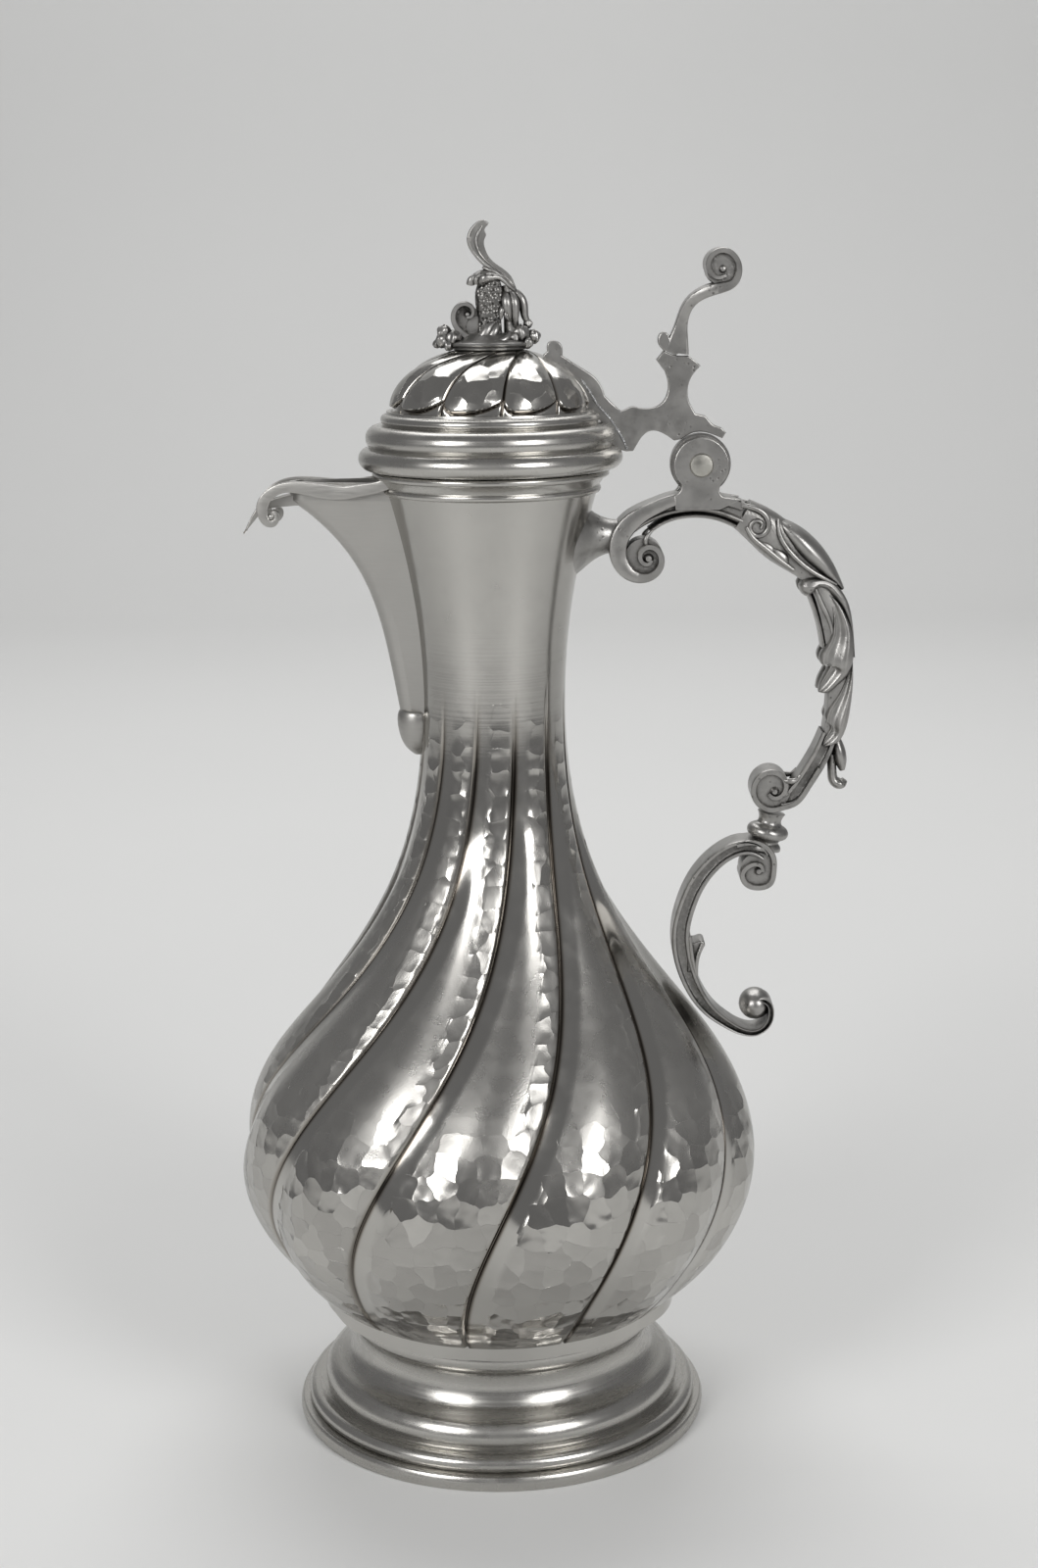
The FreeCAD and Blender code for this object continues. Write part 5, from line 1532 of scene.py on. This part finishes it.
# Strip along the edge of the spout, which rolls in under the nose: x, height and half thickness
LIP = [
    (-24.4, 271.2, 1.2), (-27.6, 270.4, 1.4), (-31.0, 269.4, 1.5), (-34.6, 268.8, 1.6),
    (-39.5, 268.0, 1.75), (-43.3, 268.2, 1.95), (-47.5, 268.8, 1.85), (-52.3, 269.4, 1.55),
    (-56.3, 269.2, 1.35), (-59.2, 267.9, 1.4), (-61.4, 265.6, 1.55), (-62.0, 263.2, 1.5),
    (-61.6, 261.2, 1.25), (-60.5, 259.8, 1.05), (-59.0, 259.7, 0.9), (-58.1, 260.9, 0.75),
    (-58.4, 262.2, 0.6), (-59.3, 262.5, 0.5),
]


def side_at(x):
    """Half width of the spout at x, along its upper edge."""
    return NOSE_HALF + (ROOT_HALF - NOSE_HALF) * (x - NOSE_X) / (ROOT_X - NOSE_X)


def spout_ring(height):
    """Closed section of the open trough at a height: outside, round the nose, and back along the inside."""
    whole = (height - SPOUT_ROOT) / (SPOUT_TOP - SPOUT_ROOT)
    reach = ROOT_REACH + NOSE_FLARE * (EVEN_FLARE * whole + LATE_FLARE * whole**4)
    if height > SPOUT_EDGE:
        reach = min(reach, LIP_REACH)
    nose = NOSE_ROUND + NOSE_GAIN * whole
    start = body_radius(height) - 0.8
    loops = []
    for inset in (0.0, SPOUT_WALL):
        tip = np.array([nose - reach, nose - 0.5 * inset])
        root = np.array([ROOT_X, ROOT_HALF - inset])
        share = np.linspace(0, 1, 200)[:, None]
        way = root + share * (tip - root)
        first = int(np.argmax(np.linalg.norm(way, axis=1) >= start - 0.6 * inset))
        side = way[first] + np.linspace(0, 1, SIDE_STEPS)[:, None] * (tip - way[first])
        turns = np.linspace(math.pi / 2, 3 * math.pi / 2, SIDE_STEPS)[1:-1]
        round_x = tip[0] + (nose - inset) * np.cos(turns)
        round_y = tip[1] * np.sin(turns)
        back = side[::-1] * [1, -1]
        loops.append(np.concatenate([side, np.column_stack([round_x, round_y]), back]))
    ring = np.concatenate([loops[0], loops[1][::-1]])
    return np.column_stack([ring, np.full(len(ring), height)])


TONGUE = [
    [(-50.0, 264.2), (-50.0, 265.4), (-60.0, 265.5)],
    [(-60.0, 265.5), (-62.6, 264.6), (-64.4, 262.6), (-66.2, 259.4), (-67.7, 256.2)],
    [(-67.7, 256.2), (-66.0, 258.2), (-63.6, 261.0), (-61.4, 262.8), (-58.0, 263.6), (-50.0, 264.2)],
]


def make_spout():
    lower = np.linspace(SPOUT_ROOT - 0.4, SPOUT_EDGE, 90)
    upper = np.linspace(SPOUT_EDGE + 0.02, SPOUT_TOP, 10)
    trough = grid_parts([spout_ring(height) for height in np.concatenate([lower, upper])])
    tongue = smooth_runs(TONGUE[:2]) + smooth_runs(TONGUE[2:])[1:-1]
    add_sheet("spout_shell", [trough, plate_mesh(tongue, 3.2, 0.3)])


def beside_spout(corners, side):
    """Corners of a lip, moved out to one side of the spout."""
    corners = np.array(corners)
    corners[..., 1] = side * (corners[..., 1] + side_at(corners[..., 0]) + LIP_OUTSET)
    return corners


def make_lips():
    strip = sweep_rows(smooth_line([(*spot, LIP_HALF) for spot in LIP], 170), FLAT_SECTION)
    eye, eye_faces = drum_parts(*LIP_EYE, boss_profile(0.9, LIP_HALF))
    for name, side in (("spout_lip_front", -1), ("spout_lip_back", 1)):
        add_sheet(name, [grid_parts(beside_spout(strip, side)), (beside_spout(eye, side), eye_faces)])


def make_drop():
    """Cast drop under the root of the spout."""
    profile = [
        (1.2, 194.2), (3.4, 196.2), (5.0, 199.4), (5.7, 203.0), (5.6, 205.6), (4.9, 206.9), (4.4, 207.1),
    ]
    line = smooth_line(profile, 40).tolist()
    rows = ring_rows([(0.05, 194.0)] + line + [(0.05, 207.2)], 64, axis_at=(-21.0, 0.0))
    add_sheet("spout_drop", [grid_parts(rows)])


def make_solder():
    """Lumpy line of solder between the foot and the body, and down both sides of the spout's root."""
    angles = even_turns(420)
    section = circle_section(10)
    thick = 0.65 + 0.15 * np.sin(23 * angles) + 0.12 * np.sin(41 * angles + 2)
    reach = 44.7 + 0.3 * np.sin(7 * angles)
    out = reach[:, None] + thick[:, None] * section[:, 0]
    up = FOOT_TOP + 0.1 * np.sin(11 * angles)[:, None] + 0.8 * thick[:, None] * section[:, 1]
    rows = np.stack([out * np.cos(angles)[:, None], out * np.sin(angles)[:, None], up], axis=-1)
    heights = np.linspace(SPOUT_ROOT, SPOUT_EDGE, 60)
    edge = [spout_ring(height)[0] for height in heights]
    bead = 0.42 + 0.1 * np.sin(np.arange(60) * 1.9)
    seams = vine_pair(np.column_stack([edge, bead]), count=150, segments=10)
    mesh = joined_mesh("solder", [grid_parts(rows, closed=True)] + seams)
    add_piece("solder", mesh, "jug", [], SOLDERED)


# Pieces in place

make_body()
make_foot()
make_collar()
make_lid_ring()
make_dome()
make_arch()
make_stub()
make_grip()
make_knop()
make_lower_scroll()
make_strap()
make_knuckle()
make_strap_solder()
make_pin()
make_thumbpiece()
make_finial_base()
make_finial_scroll()
make_finial_panel()
make_finial_plume()
make_spout()
make_lips()
make_drop()
make_solder()
for name, material in (("lid_bezel", SPUN), ("finial_screw", PIN)):
    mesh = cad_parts[name].data
    mesh.materials.clear()
    mesh.materials.append(material)

# Floor, lights and camera

FLOOR_HALF = 1.6
FLOOR_FRONT = -1.4
WALL_AT = 1.5
WALL_BEND = 0.5
WALL_TOP = 2.2
PALE = (0.76, 0.76, 0.75, 1)
STUDIO_GREY = (0.22, 0.22, 0.223, 1)
JUG_MIDDLE = (0.0, 0.0, 0.15)
WALL_MIDDLE = (0.0, 2.0, 0.7)
# Name, place, aim, width and height, and power of each lamp
SOFTBOXES = [
    ("left_softbox", (-0.74, -0.95, 0.75), JUG_MIDDLE, (0.45, 0.6), 7.2),
    ("right_softbox", (0.74, -0.95, 0.75), JUG_MIDDLE, (0.45, 0.6), 7.2),
    ("top_softbox", (0.0, 0.8, 1.5), JUG_MIDDLE, (1.2, 1.0), 9.0),
    ("wall_softbox", (0.0, 0.7, 1.7), WALL_MIDDLE, (1.6, 0.5), 10.0),
]
# Camera of the photograph: place, angles in radians, and lens
CAMERA_AT = (0.006855, -0.6884, 0.3377)
CAMERA_DOWN = 0.218
CAMERA_ROLL = -0.01
CAMERA_LENS = 57.84
CAMERA_SENSOR = 36.0


def make_floor():
    """Pale floor that bends up into a wall behind the jug."""
    turns = np.linspace(-math.pi / 2, 0, 24)
    line = [(FLOOR_FRONT, 0.0)]
    line += [(WALL_AT + WALL_BEND * math.cos(t), WALL_BEND * (1 + math.sin(t))) for t in turns]
    line.append((WALL_AT + WALL_BEND, WALL_TOP))
    corners = [(side * FLOOR_HALF, y, z) for side in (-1, 1) for y, z in line]
    size = len(line)
    faces = [(n, n + size, n + size + 1, n + 1) for n in range(size - 1)]
    mesh = bpy.data.meshes.new("floor")
    mesh.from_pydata(corners, [], faces)
    mesh.shade_smooth()
    nodes = Nodes("floor")
    nodes.shader.inputs["Metallic"].default_value = 0.0
    grain = nodes.stretch(nodes.noise(3.0, 2.0), 0.3, 0.7)
    dusty = tuple(0.985 * value for value in PALE[:3]) + (1,)
    mesh.materials.append(nodes.finish(nodes.mix(grain, PALE, dusty), 0.7))
    floor = bpy.data.objects.new("floor", mesh)
    bpy.context.scene.collection.objects.link(floor)


def add_softbox(name, place, aim, size, power):
    lamp = bpy.data.lights.new(name, "AREA")
    lamp.shape = "RECTANGLE"
    lamp.size, lamp.size_y = size
    lamp.energy = power
    holder = bpy.data.objects.new(name, lamp)
    holder.location = place
    holder.rotation_euler = (Vector(aim) - Vector(place)).to_track_quat("-Z", "Y").to_euler()
    bpy.context.scene.collection.objects.link(holder)


def make_lights():
    for softbox in SOFTBOXES:
        add_softbox(*softbox)
    world = bpy.data.worlds.new("studio")
    world.use_nodes = True
    background = world.node_tree.nodes["Background"]
    background.inputs["Color"].default_value = STUDIO_GREY
    background.inputs["Strength"].default_value = 1.0
    bpy.context.scene.world = world


def make_camera():
    camera = bpy.data.cameras.new("camera")
    camera.lens = CAMERA_LENS
    camera.sensor_width = CAMERA_SENSOR
    camera.clip_start = 0.02
    holder = bpy.data.objects.new("camera", camera)
    look_down = Matrix.Rotation(math.pi / 2 - CAMERA_DOWN, 4, "X")
    roll = Matrix.Rotation(CAMERA_ROLL, 4, "Z")
    holder.matrix_world = Matrix.Translation(CAMERA_AT) @ look_down @ roll
    bpy.context.scene.collection.objects.link(holder)
    bpy.context.scene.camera = holder


make_floor()
make_lights()
make_camera()
bpy.context.scene.view_settings.view_transform = "Standard"
